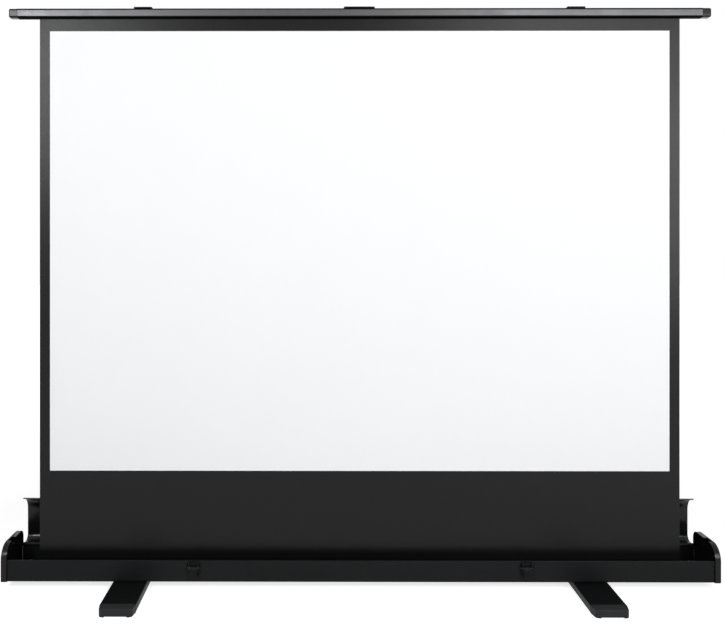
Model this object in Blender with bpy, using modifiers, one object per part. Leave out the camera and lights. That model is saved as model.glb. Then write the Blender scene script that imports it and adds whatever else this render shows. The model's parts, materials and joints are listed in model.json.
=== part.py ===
"""Pull up projection screen: a floor case whose folding arms raise a sheet of projection fabric.

Metres, +Z up. The length runs along X, the viewer stands on the -Y side, and the origin is on the
floor below the middle of the case. The screen is modelled raised, with its lid open behind it.
"""

import math

import bmesh
import bpy

# Clearances, cuts and the distances within which points are merged
TOUCH_GAP = 0.0003
RUNNING_GAP = 0.0005
CUT_OVERRUN = 0.002
WELD_DISTANCE = 0.00001
TURNED_WELD_DISTANCE = 0.0001

# Projection fabric
PICTURE_WIDTH = 1.626
PICTURE_HEIGHT = 1.155
PICTURE_BOTTOM_Z = 0.296
SIDE_BORDER = 0.027
TOP_BORDER = 0.033
FABRIC_THICKNESS = 0.0004
PICTURE_THICKNESS = 0.0003
FABRIC_Y = -0.0125

# Roller
ROLLER_TUBE_RADIUS = 0.0125
ROLLER_TUBE_WALL = 0.0011
ROLLER_OVERHANG = 0.018
ROLL_THICKNESS = 0.0012
ROLLER_PIN_RADIUS = 0.003
ROLLER_HEIGHT = 0.0277
PLUG_FLANGE_RADIUS = 0.0145
PLUG_FLANGE = 0.003
PLUG_DEPTH = 0.022
SPRING_LENGTH = 0.240
SPRING_COILS = 14
SPRING_COIL_POINTS = 8
SPRING_RADIUS = 0.0072
SPRING_WIRE_RADIUS = 0.0008
MANDREL_EXTRA = 0.030
ROLLER_BRACKET_GAP = 0.004
ROLLER_BRACKET_THICKNESS = 0.0025
ROLLER_BRACKET_DEPTH = 0.032
ROLLER_BRACKET_HEAD = 0.011
ROLLER_BRACKET_FOOT = 0.016

# Case
CASE_DEPTH = 0.121
CASE_WALL = 0.0028
CASE_WALL_HEIGHT = 0.056
CASE_CORNER_RADIUS = 0.005
CASE_END_SPACE = 0.0412
CASE_LIP_WIDTH = 0.0048
CASE_LIP_HEIGHT = 0.0042
SCREW_PORT_RADIUS = 0.004
SCREW_PORT_BORE = 0.002
SCREW_PORT_INSET = 0.010
SCREW_PORT_MOUTH_DEG = 60

# Lid and its hinge along the rear edge of the case
HINGE_Y = 0.0600
HINGE_BEAD_RADIUS = 0.00275
HINGE_SOCKET_RADIUS = 0.00305
HINGE_SOCKET_WALL = 0.00195
SOCKET_LOW_DEG = -12
SOCKET_HIGH_DEG = 103
LID_NECK = 0.0012
LID_NECK_LENGTH = 0.0062
LID_NECK_FLARE = 0.0016
LID_WALL = 0.0022
LID_RISE = 0.038
LID_FRONT_Y = -0.0640
LID_FRONT_RADIUS = 0.040
LID_REAR_RADIUS = 0.020
LID_LAP = 0.003
LID_END_GAP = 0.001

# End caps
CAP_LENGTH = 0.016
CAP_SKIN = 0.003
CAP_FRONT_MARGIN = 0.0010
CAP_REAR_MARGIN = 0.0060
CAP_TOP_MARGIN = 0.0010
CAP_CORNER_RADIUS = 0.004
CAP_EDGE_ROUND = 0.003
CAP_SLOT_CLEARANCE = 0.0020
CAP_BOSS_RADIUS = 0.0045
CAP_SCREW_RADIUS = 0.0016
CAP_SCREW_HEAD_RADIUS = 0.0038
CAP_SCREW_HEAD = 0.0022
CAP_SCREW_REACH = 0.018
SCREW_CROWN_SHARE = 0.7

# Top bar
BAR_HEIGHT = 0.025
BAR_DEPTH = 0.026
BAR_WALL = 0.0016
BAR_CORNER_RADIUS = 0.006
BAR_SLOT = 0.005
BAR_END_INSET = 0.007
BAR_PLUG_LENGTH = 0.023
BAR_PLUG_SPIGOT = 0.014
BAR_PLUG_ROUND = 0.003
HEM_ROD_RADIUS = 0.0032

# Folding arms
ARM_INSET = 0.342
ARM_THICKNESS = 0.006
ARM_WIDTH = 0.024
ARM_LAYER_GAP = 0.001
ARM_PIN_RADIUS = 0.004
ARM_PIVOT_HEIGHT = 0.0307
ARM_TOP_PIVOT_RISE = 0.006
REST_LEAN_DEG = 10.0
BASE_CHEEK = 0.0025
BASE_FLANGE = 0.003
BASE_WIDTH = 0.040
BASE_HEAD = 0.011

# Arm brackets and pull handle on the top bar
BRACKET_WIDTH = 0.048
BRACKET_CROWN = 0.0035
BRACKET_PLATE = 0.0027
BRACKET_DROP = 0.008
HANDLE_WIDTH = 0.081
HANDLE_REACH = 0.021
HANDLE_LIP = 0.004
HANDLE_LIP_DROP = 0.011

# Swivel feet
FOOT_X_INSET = 0.315
FOOT_WIDTH = 0.089
FOOT_TIP_WIDTH = 0.082
FOOT_LENGTH = 0.437
FOOT_HEIGHT = 0.0205
FOOT_WALL = 0.003
FOOT_TOP_RADIUS = 0.004
FOOT_HOLLOW_SHARE = 0.98
FOOT_CAP_LENGTH = 0.030
FOOT_CAP_CORNER = 0.010
FOOT_CAP_ROUND = 0.002
FOOT_SPIGOT = 0.012
FOOT_PAD_WIDTH = 0.014
FOOT_PAD_RISE = 0.002
FOOT_GAP = 0.001
FOOT_BOLT_RADIUS = 0.004
FOOT_BOLT_HEAD_RADIUS = 0.008
FOOT_BOLT_HEAD = 0.004
FOOT_ACCESS_RADIUS = 0.011
FOOT_PLATE_LENGTH = 0.070
FOOT_PLATE_DEPTH = 0.013
FOOT_PLATE_THICKNESS = 0.003

# Latches on the front of the case
LATCH_INSET = 0.481
LATCH_WIDTH = 0.033
LATCH_HEIGHT = 0.038
LATCH_PLATE = 0.002
LATCH_BOTTOM_RISE = 0.0145
LATCH_EAR = 0.003
LATCH_EAR_RADIUS = 0.0038
LATCH_PIN_RADIUS = 0.0015
LATCH_PIN_RISE = 0.026
LATCH_PIN_REACH = 0.0055
LEVER_HALF_WIDTH = 0.0100
LEVER_BARREL_RADIUS = 0.0034
LEVER_BLADE_BACK = 0.0010
LEVER_BLADE = 0.005
LEVER_LENGTH = 0.024
LEVER_TIP_FLARE = 0.0012
LEVER_SHOULDER = 0.003
BAIL_WIRE = 0.0012
BAIL_DROP = 0.007
BAIL_RISE = 0.024
BAIL_KNEE_RISE = 0.0115
BAIL_CORNER = 0.003
BAIL_ENTRY = 0.004
KEEPER_WIDTH = 0.018
KEEPER_HEIGHT = 0.0020
KEEPER_THICKNESS = 0.0018
KEEPER_LIFT = 0.0010

# Facets of round pieces, and the angles that part a sharp edge from a smooth or flat one
SHARP_EDGE_DEG = 35
FLAT_FACE_DEG = 0.5
ROUND_SIDES = 24
SMALL_ROUND_SIDES = 16
CORNER_STEPS = 4
WIDE_ARC_STEPS = 10

# Turns that lay an outline's thickness, or a rod, along an axis, and a turned piece or rod along X
ALONG_X = (math.pi / 2, 0, math.pi / 2)
ALONG_Y = (math.pi / 2, 0, 0)
ALONG_Z = (0, 0, 0)
Z_TO_X = (0, math.pi / 2, 0)

SIDES = (("left", -1), ("right", 1))

# Places along X, worked out from the fabric outwards
FABRIC_WIDTH = PICTURE_WIDTH + 2 * SIDE_BORDER
ROLLER_HALF = FABRIC_WIDTH / 2 + ROLLER_OVERHANG
PLUG_OUTER_X = ROLLER_HALF + TOUCH_GAP + PLUG_FLANGE
BRACKET_INNER_X = PLUG_OUTER_X + ROLLER_BRACKET_GAP
BRACKET_OUTER_X = BRACKET_INNER_X + ROLLER_BRACKET_THICKNESS
CASE_HALF = BRACKET_OUTER_X + CASE_END_SPACE
CAP_OUTER_X = CASE_HALF + CAP_LENGTH
LID_HALF = CASE_HALF - LID_END_GAP
BAR_END_X = CAP_OUTER_X - BAR_END_INSET
BAR_HALF = BAR_END_X - BAR_PLUG_LENGTH
ARM_X = CASE_HALF - ARM_INSET
FOOT_X = CASE_HALF - FOOT_X_INSET
LATCH_X = CASE_HALF - LATCH_INSET

# Heights, worked out from the floor upwards
CASE_BOTTOM_Z = FOOT_HEIGHT + FOOT_GAP
CASE_FLOOR_Z = CASE_BOTTOM_Z + CASE_WALL
CASE_TOP_Z = CASE_BOTTOM_Z + CASE_WALL_HEIGHT
HINGE_Z = CASE_TOP_Z
ROLLER_Z = CASE_FLOOR_Z + ROLLER_HEIGHT
BASE_PIVOT_Z = CASE_FLOOR_Z + ARM_PIVOT_HEIGHT
BAR_BOTTOM_Z = PICTURE_BOTTOM_Z + PICTURE_HEIGHT + TOP_BORDER
BAR_TOP_Z = BAR_BOTTOM_Z + BAR_HEIGHT
TOP_PIVOT_Z = BAR_BOTTOM_Z + ARM_TOP_PIVOT_RISE
LID_TOP_Z = HINGE_Z + LID_RISE
CAP_TOP_Z = LID_TOP_Z + CAP_TOP_MARGIN

# Depths, worked out from the fabric plane
ROLL_RADIUS = ROLLER_TUBE_RADIUS + TOUCH_GAP + ROLL_THICKNESS
ROLLER_Y = FABRIC_Y - FABRIC_THICKNESS / 2 - TOUCH_GAP - ROLL_RADIUS
BAR_FRONT_Y = FABRIC_Y - BAR_DEPTH / 2
BAR_REAR_Y = FABRIC_Y + BAR_DEPTH / 2
BRACKET_REAR_Y = BAR_REAR_Y + TOUCH_GAP + BRACKET_PLATE
ARM_FRONT_Y = BRACKET_REAR_Y + ARM_LAYER_GAP
CASE_FRONT_Y = -CASE_DEPTH / 2
CASE_REAR_Y = CASE_DEPTH / 2

# Arms: two links a side reach from the base pivot to the top pivot
ARM_LINK = (TOP_PIVOT_Z - BASE_PIVOT_Z) / (2 * math.cos(math.radians(REST_LEAN_DEG)))
ELBOW_Z = (TOP_PIVOT_Z + BASE_PIVOT_Z) / 2
ELBOW_X = ARM_X - ARM_LINK * math.sin(math.radians(REST_LEAN_DEG))
ARM_LAYERS = {"left": {"upper": 0, "lower": 1}, "right": {"upper": 2, "lower": 3}}

# Latch places
LATCH_BOTTOM_Z = CASE_BOTTOM_Z + LATCH_BOTTOM_RISE
LATCH_PLATE_FRONT_Y = CASE_FRONT_Y - TOUCH_GAP - LATCH_PLATE
LATCH_PIN_Y = LATCH_PLATE_FRONT_Y - LATCH_PIN_REACH
LATCH_PIN_Z = LATCH_BOTTOM_Z + LATCH_PIN_RISE
BAIL_PIN_Y = LATCH_PIN_Y - LEVER_BLADE_BACK - LEVER_BLADE / 2
BAIL_PIN_Z = LATCH_PIN_Z - BAIL_DROP
BAIL_HALF = LEVER_HALF_WIDTH + RUNNING_GAP + BAIL_WIRE

parts = None
cutters = None
materials = {}


def start_scene():
    """Empty the scene and make the two collections."""
    global parts, cutters
    for old in list(bpy.data.objects):
        bpy.data.objects.remove(old, do_unlink=True)
    parts = bpy.data.collections.new("pull_up_projection_screen")
    cutters = bpy.data.collections.new("cutters")
    bpy.context.scene.collection.children.link(parts)
    bpy.context.scene.collection.children.link(cutters)


def finish(name, colour, roughness, metallic):
    """A plain material with the colour and gloss of one kind of surface."""
    material = bpy.data.materials.new(name)
    material.use_nodes = True
    shader = material.node_tree.nodes["Principled BSDF"]
    shader.inputs["Base Color"].default_value = (*colour, 1)
    shader.inputs["Roughness"].default_value = roughness
    shader.inputs["Metallic"].default_value = metallic
    material.diffuse_color = (*colour, 1)
    materials[name] = material


def make_finishes():
    finish("charcoal_paint", (0.018, 0.019, 0.021), 0.38, 0.0)
    finish("gloss_black", (0.006, 0.006, 0.007), 0.14, 0.0)
    finish("matte_black_plastic", (0.012, 0.012, 0.013), 0.5, 0.0)
    finish("steel", (0.52, 0.53, 0.54), 0.32, 1.0)
    finish("aluminium", (0.66, 0.67, 0.68), 0.35, 1.0)
    finish("black_fabric", (0.010, 0.010, 0.011), 0.85, 0.0)
    finish("white_fabric", (0.86, 0.87, 0.88), 0.8, 0.0)
    finish("grey_plastic", (0.085, 0.087, 0.09), 0.5, 0.0)
    finish("black_anodised", (0.03, 0.03, 0.032), 0.42, 0.6)


def add_object(name, mesh, place, turn, material, collection=None):
    obj = bpy.data.objects.new(name, mesh)
    obj.location = place
    obj.rotation_euler = turn
    (collection or parts).objects.link(obj)
    if material:
        mesh.materials.clear()
        mesh.materials.append(materials[material])
    return obj


def box(name, low, high, material=None, collection=None):
    """A box between two corners, with its origin at its middle."""
    size = [b - a for a, b in zip(low, high)]
    middle = [(a + b) / 2 for a, b in zip(low, high)]
    shape = bmesh.new()
    bmesh.ops.create_cube(shape, size=1)
    bmesh.ops.scale(shape, vec=size, verts=shape.verts)
    mesh = bpy.data.meshes.new(name)
    shape.to_mesh(mesh)
    shape.free()
    return add_object(name, mesh, middle, (0, 0, 0), material, collection)


def rod(name, radius, start, end, turn, material=None, collection=None, sides=ROUND_SIDES):
    """A round bar along one axis, between two points."""
    middle = [(a + b) / 2 for a, b in zip(start, end)]
    length = math.dist(start, end)
    shape = bmesh.new()
    bmesh.ops.create_cone(
        shape, cap_ends=True, segments=sides, radius1=radius, radius2=radius, depth=length
    )
    mesh = bpy.data.meshes.new(name)
    shape.to_mesh(mesh)
    shape.free()
    smooth_sides(mesh)
    return add_object(name, mesh, middle, turn, material, collection)


def smooth_sides(mesh):
    mesh.shade_smooth()
    mesh.set_sharp_from_angle(angle=math.radians(SHARP_EDGE_DEG))


def turned(name, profile, place, turn, material, sides=ROUND_SIDES, closed=False):
    """A turned piece: a profile of (radius, height) pairs swept round its own Z axis."""
    count = len(profile)
    edges = [(i, i + 1) for i in range(count - 1)]
    if closed:
        edges.append((count - 1, 0))
    mesh = bpy.data.meshes.new(name)
    mesh.from_pydata([(radius, 0, height) for radius, height in profile], edges, [])
    obj = add_object(name, mesh, place, turn, material)
    screw = obj.modifiers.new("turn", "SCREW")
    screw.steps = sides
    screw.render_steps = sides
    screw.use_merge_vertices = True
    screw.merge_threshold = TURNED_WELD_DISTANCE
    screw.use_smooth_shade = False
    return obj


def outline_piece(name, loops, thickness, place, turn, material=None, collection=None):
    """A flat outline, with any holes, pushed out to a thickness about its own plane."""
    curve = bpy.data.curves.new(name, "CURVE")
    curve.dimensions = "2D"
    curve.fill_mode = "BOTH"
    curve.extrude = thickness / 2
    for loop in loops:
        spline = curve.splines.new("POLY")
        spline.points.add(len(loop) - 1)
        for point, (across, up) in zip(spline.points, loop):
            point.co = (across, up, 0, 1)
        spline.use_cyclic_u = True
    draft = bpy.data.objects.new(name + "_draft", curve)
    cutters.objects.link(draft)
    bpy.context.view_layer.update()
    solid = draft.evaluated_get(bpy.context.evaluated_depsgraph_get())
    mesh = bpy.data.meshes.new_from_object(solid)
    bpy.data.objects.remove(draft, do_unlink=True)
    mesh.name = name
    shape = bmesh.new()
    shape.from_mesh(mesh)
    bmesh.ops.remove_doubles(shape, verts=shape.verts, dist=WELD_DISTANCE)
    if len(loops) == 1:
        bmesh.ops.dissolve_limit(
            shape, angle_limit=math.radians(FLAT_FACE_DEG), verts=shape.verts, edges=shape.edges
        )
    bmesh.ops.recalc_face_normals(shape, faces=shape.faces)
    shape.to_mesh(mesh)
    shape.free()
    smooth_sides(mesh)
    return add_object(name, mesh, place, turn, material, collection)


def cut(target, cutter, operation="DIFFERENCE"):
    """Cut one object from another, or join it on, and keep the tool as a hidden guide."""
    cutter.hide_render = True
    cutter.display_type = "WIRE"
    boolean = target.modifiers.new(cutter.name, "BOOLEAN")
    boolean.operation = operation
    boolean.object = cutter
    boolean.solver = "EXACT"


def bevel_where(target, width, segments, wanted):
    """Round only the edges whose two ends both pass a test, in the piece's own axes."""
    shape = bmesh.new()
    shape.from_mesh(target.data)
    weights = shape.edges.layers.float.new("bevel_weight_edge")
    for edge in shape.edges:
        ends_pass = all(wanted(vert.co) for vert in edge.verts)
        is_sharp = edge.calc_face_angle() > math.radians(SHARP_EDGE_DEG)
        edge[weights] = 1 if ends_pass and is_sharp else 0
    shape.to_mesh(target.data)
    shape.free()
    modifier = target.modifiers.new("soft_edges", "BEVEL")
    modifier.width = width
    modifier.segments = segments
    modifier.limit_method = "WEIGHT"


def joint(name, place, under=None):
    """An empty on a joint's axis. It carries the pieces that the joint moves."""
    empty = bpy.data.objects.new("axis_" + name, None)
    empty.location = place
    parts.objects.link(empty)
    bpy.context.view_layer.update()
    if under:
        hang(empty, under)
    return empty


def hang(obj, under):
    """Parent an object to a joint's empty without moving it."""
    bpy.context.view_layer.update()
    obj.parent = under
    obj.matrix_parent_inverse = under.matrix_world.inverted()
    bpy.context.view_layer.update()


def arc(centre, radius, start, end, steps):
    """Points on an arc in a plane, from one angle to another in degrees."""
    points = []
    for step in range(steps + 1):
        angle = math.radians(start + (end - start) * step / steps)
        across = centre[0] + radius * math.cos(angle)
        up = centre[1] + radius * math.sin(angle)
        points.append((across, up))
    return points


def circle(centre, radius, sides=ROUND_SIDES):
    return arc(centre, radius, 0, 360, sides)[:-1]


def rounded_rectangle(low, high, radius, steps=CORNER_STEPS):
    corners = (
        (high[0] - radius, high[1] - radius, 0),
        (low[0] + radius, high[1] - radius, 90),
        (low[0] + radius, low[1] + radius, 180),
        (high[0] - radius, low[1] + radius, 270),
    )
    points = []
    for across, up, start in corners:
        points += arc((across, up), radius, start, start + 90, steps)
    return points


def screw_port(centre_y):
    """The part of the case floor's upper line that wraps round one open screw port, rear to front."""
    centre = (centre_y, CASE_FLOOR_Z + SCREW_PORT_RADIUS - CASE_WALL / 2)
    root = math.degrees(math.asin((CASE_FLOOR_Z - centre[1]) / SCREW_PORT_RADIUS))
    mouth = SCREW_PORT_MOUTH_DEG
    outer_rear = arc(centre, SCREW_PORT_RADIUS, root, mouth, CORNER_STEPS)
    inner = arc(centre, SCREW_PORT_BORE, mouth, -180 - mouth, 2 * CORNER_STEPS)
    outer_front = arc(centre, SCREW_PORT_RADIUS, 180 - mouth, 180 - root, CORNER_STEPS)
    return outer_rear + inner + outer_front


def screw_port_centres():
    inset = CASE_WALL + SCREW_PORT_INSET
    height = CASE_FLOOR_Z + SCREW_PORT_RADIUS - CASE_WALL / 2
    return ((CASE_FRONT_Y + inset, height), (CASE_REAR_Y - inset, height))


def case_section():
    """The extruded channel: floor, two walls, front lip, two screw ports and the hinge socket."""
    corner = CASE_CORNER_RADIUS
    inner_corner = CASE_CORNER_RADIUS - CASE_WALL
    front_in = CASE_FRONT_Y + CASE_WALL
    rear_in = CASE_REAR_Y - CASE_WALL
    hinge = (HINGE_Y, HINGE_Z)
    socket_out = HINGE_SOCKET_RADIUS + HINGE_SOCKET_WALL
    wall_meets_out = math.degrees(math.asin((CASE_REAR_Y - HINGE_Y) / socket_out)) - 90
    wall_meets_in = math.degrees(math.asin((rear_in - HINGE_Y) / socket_out)) - 90
    lip_radius = CASE_LIP_HEIGHT / 2
    lip_in = CASE_FRONT_Y + CASE_LIP_WIDTH
    lip_low_z = CASE_TOP_Z - CASE_LIP_HEIGHT
    points = []
    points += arc((CASE_FRONT_Y + corner, CASE_BOTTOM_Z + corner), corner, 180, 270, CORNER_STEPS)
    points += arc((CASE_REAR_Y - corner, CASE_BOTTOM_Z + corner), corner, 270, 360, CORNER_STEPS)
    points += arc(hinge, socket_out, wall_meets_out, SOCKET_LOW_DEG, CORNER_STEPS)
    points += arc(hinge, HINGE_SOCKET_RADIUS, SOCKET_LOW_DEG, SOCKET_HIGH_DEG - 360, WIDE_ARC_STEPS)
    points += arc(hinge, socket_out, SOCKET_HIGH_DEG, 360 + wall_meets_in, WIDE_ARC_STEPS)
    points += arc(
        (rear_in - inner_corner, CASE_FLOOR_Z + inner_corner), inner_corner, 0, -90, CORNER_STEPS
    )
    front_port, rear_port = screw_port_centres()
    points += screw_port(rear_port[0])
    points += screw_port(front_port[0])
    points += arc(
        (front_in + inner_corner, CASE_FLOOR_Z + inner_corner), inner_corner, -90, -180, CORNER_STEPS
    )
    points.append((front_in, lip_low_z))
    points.append((lip_in, lip_low_z + lip_radius / 2))
    points += arc((lip_in - lip_radius, CASE_TOP_Z - lip_radius), lip_radius, 0, 90, CORNER_STEPS)
    points += arc(
        (CASE_FRONT_Y + lip_radius, CASE_TOP_Z - lip_radius), lip_radius, 90, 180, CORNER_STEPS
    )
    return points


def opened(reach, rise):
    """A point of the closed lid, measured from its hinge, turned up to where the open lid has it."""
    return (rise, -reach)


def lid_section():
    """The lid's skin from its front lip over to the neck and round bead that turn in the socket."""
    front = LID_FRONT_Y - HINGE_Y
    rear = LID_WALL / 2
    lip = -LID_LAP
    neck = LID_NECK / 2
    bead_angle = math.degrees(math.asin(neck / HINGE_BEAD_RADIUS))
    front_centre = (front + LID_FRONT_RADIUS, LID_RISE - LID_FRONT_RADIUS)
    rear_centre = (rear - LID_REAR_RADIUS, LID_RISE - LID_REAR_RADIUS)
    flare_top = LID_NECK_LENGTH + LID_NECK_FLARE
    points = [(front, lip)]
    points += arc(front_centre, LID_FRONT_RADIUS, 180, 90, WIDE_ARC_STEPS)
    points += arc(rear_centre, LID_REAR_RADIUS, 90, 0, WIDE_ARC_STEPS)
    points += [(rear, flare_top), (neck, LID_NECK_LENGTH)]
    points += arc((0, 0), HINGE_BEAD_RADIUS, 90 - bead_angle, bead_angle - 270, 2 * WIDE_ARC_STEPS)
    points += [(-neck, LID_NECK_LENGTH), (rear - LID_WALL, flare_top)]
    points += arc(rear_centre, LID_REAR_RADIUS - LID_WALL, 0, 90, WIDE_ARC_STEPS)
    points += arc(front_centre, LID_FRONT_RADIUS - LID_WALL, 90, 180, WIDE_ARC_STEPS)
    points.append((front + LID_WALL, lip))
    return [opened(reach, rise) for reach, rise in points]


def cap_profile():
    """The end cap's outer outline: upright front, wide front curve, flat top and rounded rear."""
    front = LID_FRONT_Y - CAP_FRONT_MARGIN
    rear = HINGE_Y + CAP_REAR_MARGIN
    corner = CAP_CORNER_RADIUS
    front_radius = LID_FRONT_RADIUS + CAP_FRONT_MARGIN
    points = arc((front + corner, CASE_BOTTOM_Z + corner), corner, 180, 270, CORNER_STEPS)
    points += arc((rear - corner, CASE_BOTTOM_Z + corner), corner, 270, 360, CORNER_STEPS)
    points += arc(
        (rear - LID_REAR_RADIUS, CAP_TOP_Z - LID_REAR_RADIUS), LID_REAR_RADIUS, 0, 90, WIDE_ARC_STEPS
    )
    points += arc(
        (front + front_radius, CAP_TOP_Z - front_radius), front_radius, 90, 180, WIDE_ARC_STEPS
    )
    return points


def cap_pocket():
    """The hollow of the end cap. Below the lid it matches the case's inside, so the rim covers its end."""
    front = LID_FRONT_Y - CAP_FRONT_MARGIN
    rear = HINGE_Y + CAP_REAR_MARGIN
    front_radius = LID_FRONT_RADIUS + CAP_FRONT_MARGIN
    front_in = CASE_FRONT_Y + CASE_WALL
    rear_in = CASE_REAR_Y - CASE_WALL
    points = [(front_in, CASE_FLOOR_Z), (rear_in, CASE_FLOOR_Z)]
    points += [(rear_in, HINGE_Z), (rear - CAP_SKIN, HINGE_Z)]
    points += arc(
        (rear - LID_REAR_RADIUS, CAP_TOP_Z - LID_REAR_RADIUS),
        LID_REAR_RADIUS - CAP_SKIN, 0, 90, WIDE_ARC_STEPS,
    )
    points += arc(
        (front + front_radius, CAP_TOP_Z - front_radius),
        front_radius - CAP_SKIN, 90, 180, WIDE_ARC_STEPS,
    )
    points.append((front_in, CAP_TOP_Z - front_radius))
    return points


def build_case():
    length = 2 * CASE_HALF
    case = outline_piece("case_shell", [case_section()], length, (0, 0, 0), ALONG_X, "charcoal_paint")
    for word, side in SIDES:
        low_z = CASE_BOTTOM_Z - CUT_OVERRUN
        high_z = CASE_FLOOR_Z + CUT_OVERRUN
        hole = rod(
            "case_bolt_hole_" + word, FOOT_BOLT_RADIUS + TOUCH_GAP,
            (side * FOOT_X, 0, low_z), (side * FOOT_X, 0, high_z), ALONG_Z, collection=cutters,
        )
        cut(case, hole)


def build_end_cap(word, side):
    middle = side * (CASE_HALF + TOUCH_GAP + CAP_LENGTH / 2)
    depth = CAP_LENGTH - TOUCH_GAP * 2
    cap = outline_piece(
        "end_cap_" + word, [cap_profile()], depth, (middle, 0, 0), ALONG_X, "gloss_black"
    )
    bevel_where(cap, CAP_EDGE_ROUND, 3, lambda end: end.z * side > depth / 2 - TOUCH_GAP)
    inner_x = middle - side * depth / 2
    outer_x = middle + side * depth / 2
    pocket_end = outer_x - side * CAP_SKIN
    pocket_start = inner_x - side * CUT_OVERRUN
    pocket = outline_piece(
        "cap_pocket_" + word, [cap_pocket()], abs(pocket_end - pocket_start),
        ((pocket_end + pocket_start) / 2, 0, 0), ALONG_X, collection=cutters,
    )
    cut(cap, pocket)
    slot_x = sorted((pocket_start, side * (BAR_END_X + CAP_SLOT_CLEARANCE)))
    slot = box(
        "bar_end_slot_" + word,
        (slot_x[0], BAR_FRONT_Y - CAP_SLOT_CLEARANCE, HINGE_Z),
        (slot_x[1], BAR_REAR_Y + CAP_SLOT_CLEARANCE, CAP_TOP_Z + CUT_OVERRUN),
        collection=cutters,
    )
    cut(cap, slot)
    for place, (y, z) in zip(("front", "rear"), screw_port_centres()):
        boss = rod(
            "cap_boss_" + place + "_" + word, CAP_BOSS_RADIUS,
            (inner_x, y, z), (outer_x - side * CAP_SKIN / 2, y, z), Z_TO_X, collection=cutters,
        )
        cut(cap, boss, "UNION")
        drill = rod(
            "cap_drill_" + place + "_" + word, CAP_SCREW_RADIUS + TOUCH_GAP,
            (inner_x - side * CUT_OVERRUN, y, z), (outer_x + side * CUT_OVERRUN, y, z), Z_TO_X,
            collection=cutters,
        )
        cut(cap, drill)
        seat_x = outer_x - side * (CAP_SCREW_HEAD + TOUCH_GAP)
        seat = rod(
            "cap_seat_" + place + "_" + word, CAP_SCREW_HEAD_RADIUS + TOUCH_GAP,
            (seat_x, y, z), (outer_x + side * CUT_OVERRUN, y, z), Z_TO_X, collection=cutters,
        )
        cut(cap, seat)
        build_cap_screw(word, side, place, y, z, seat_x, outer_x)


def build_cap_screw(word, side, place, y, z, seat_x, outer_x):
    """A pan screw from the cap's outer face into the open port of the case."""
    head_start = seat_x + side * TOUCH_GAP
    tip = side * (CASE_HALF - CAP_SCREW_REACH)
    shank = abs(head_start - tip)
    head = abs(outer_x - head_start)
    profile = [
        (0, head),
        (CAP_SCREW_HEAD_RADIUS * SCREW_CROWN_SHARE, head),
        (CAP_SCREW_HEAD_RADIUS, head / 2),
        (CAP_SCREW_HEAD_RADIUS, 0),
        (CAP_SCREW_RADIUS, 0),
        (CAP_SCREW_RADIUS, CAP_SCREW_RADIUS - shank),
        (0, -shank),
    ]
    turned(
        "cap_screw_" + place + "_" + word, profile, (head_start, y, z),
        (0, side * math.pi / 2, 0), "steel", SMALL_ROUND_SIDES,
    )


def build_lid():
    hinge = joint("lid_hinge", (0, HINGE_Y, HINGE_Z))
    lid = outline_piece(
        "lid_shell", [lid_section()], 2 * LID_HALF, (0, HINGE_Y, HINGE_Z), ALONG_X, "gloss_black"
    )
    hang(lid, hinge)
    front = LID_FRONT_Y - HINGE_Y - TOUCH_GAP
    lip = KEEPER_LIFT - LID_LAP
    for word, side in SIDES:
        near_y, near_z = opened(front, lip)
        far_y, far_z = opened(front - KEEPER_THICKNESS, lip + KEEPER_HEIGHT)
        keeper = box(
            "latch_keeper_" + word,
            (side * LATCH_X - KEEPER_WIDTH / 2, HINGE_Y + near_y, HINGE_Z + near_z),
            (side * LATCH_X + KEEPER_WIDTH / 2, HINGE_Y + far_y, HINGE_Z + far_z),
            "steel",
        )
        hang(keeper, hinge)


def build_roller():
    axis = joint("roller_turn", (0, ROLLER_Y, ROLLER_Z))
    tube_bore = ROLLER_TUBE_RADIUS - ROLLER_TUBE_WALL
    half = ROLLER_HALF
    centre = (0, ROLLER_Y, ROLLER_Z)
    tube = [(ROLLER_TUBE_RADIUS, half), (ROLLER_TUBE_RADIUS, -half), (tube_bore, -half), (tube_bore, half)]
    hang(turned("roller_tube", tube, centre, Z_TO_X, "aluminium", closed=True), axis)
    roll_in = ROLLER_TUBE_RADIUS + TOUCH_GAP
    roll_half = FABRIC_WIDTH / 2
    roll = [(ROLL_RADIUS, roll_half), (ROLL_RADIUS, -roll_half), (roll_in, -roll_half), (roll_in, roll_half)]
    hang(turned("fabric_roll", roll, centre, Z_TO_X, "black_fabric", closed=True), axis)
    bore = ROLLER_PIN_RADIUS + RUNNING_GAP
    body = tube_bore - TOUCH_GAP
    for word, side in SIDES:
        plug = [
            (PLUG_FLANGE_RADIUS, PLUG_FLANGE),
            (PLUG_FLANGE_RADIUS, 0),
            (body, 0),
            (body, -PLUG_DEPTH),
            (bore, -PLUG_DEPTH),
            (bore, PLUG_FLANGE),
        ]
        seat = (side * (ROLLER_HALF + TOUCH_GAP), ROLLER_Y, ROLLER_Z)
        turn = (0, side * math.pi / 2, 0)
        hang(turned("roller_plug_" + word, plug, seat, turn, "grey_plastic", closed=True), axis)
    hang(build_spring(), axis)


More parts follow.
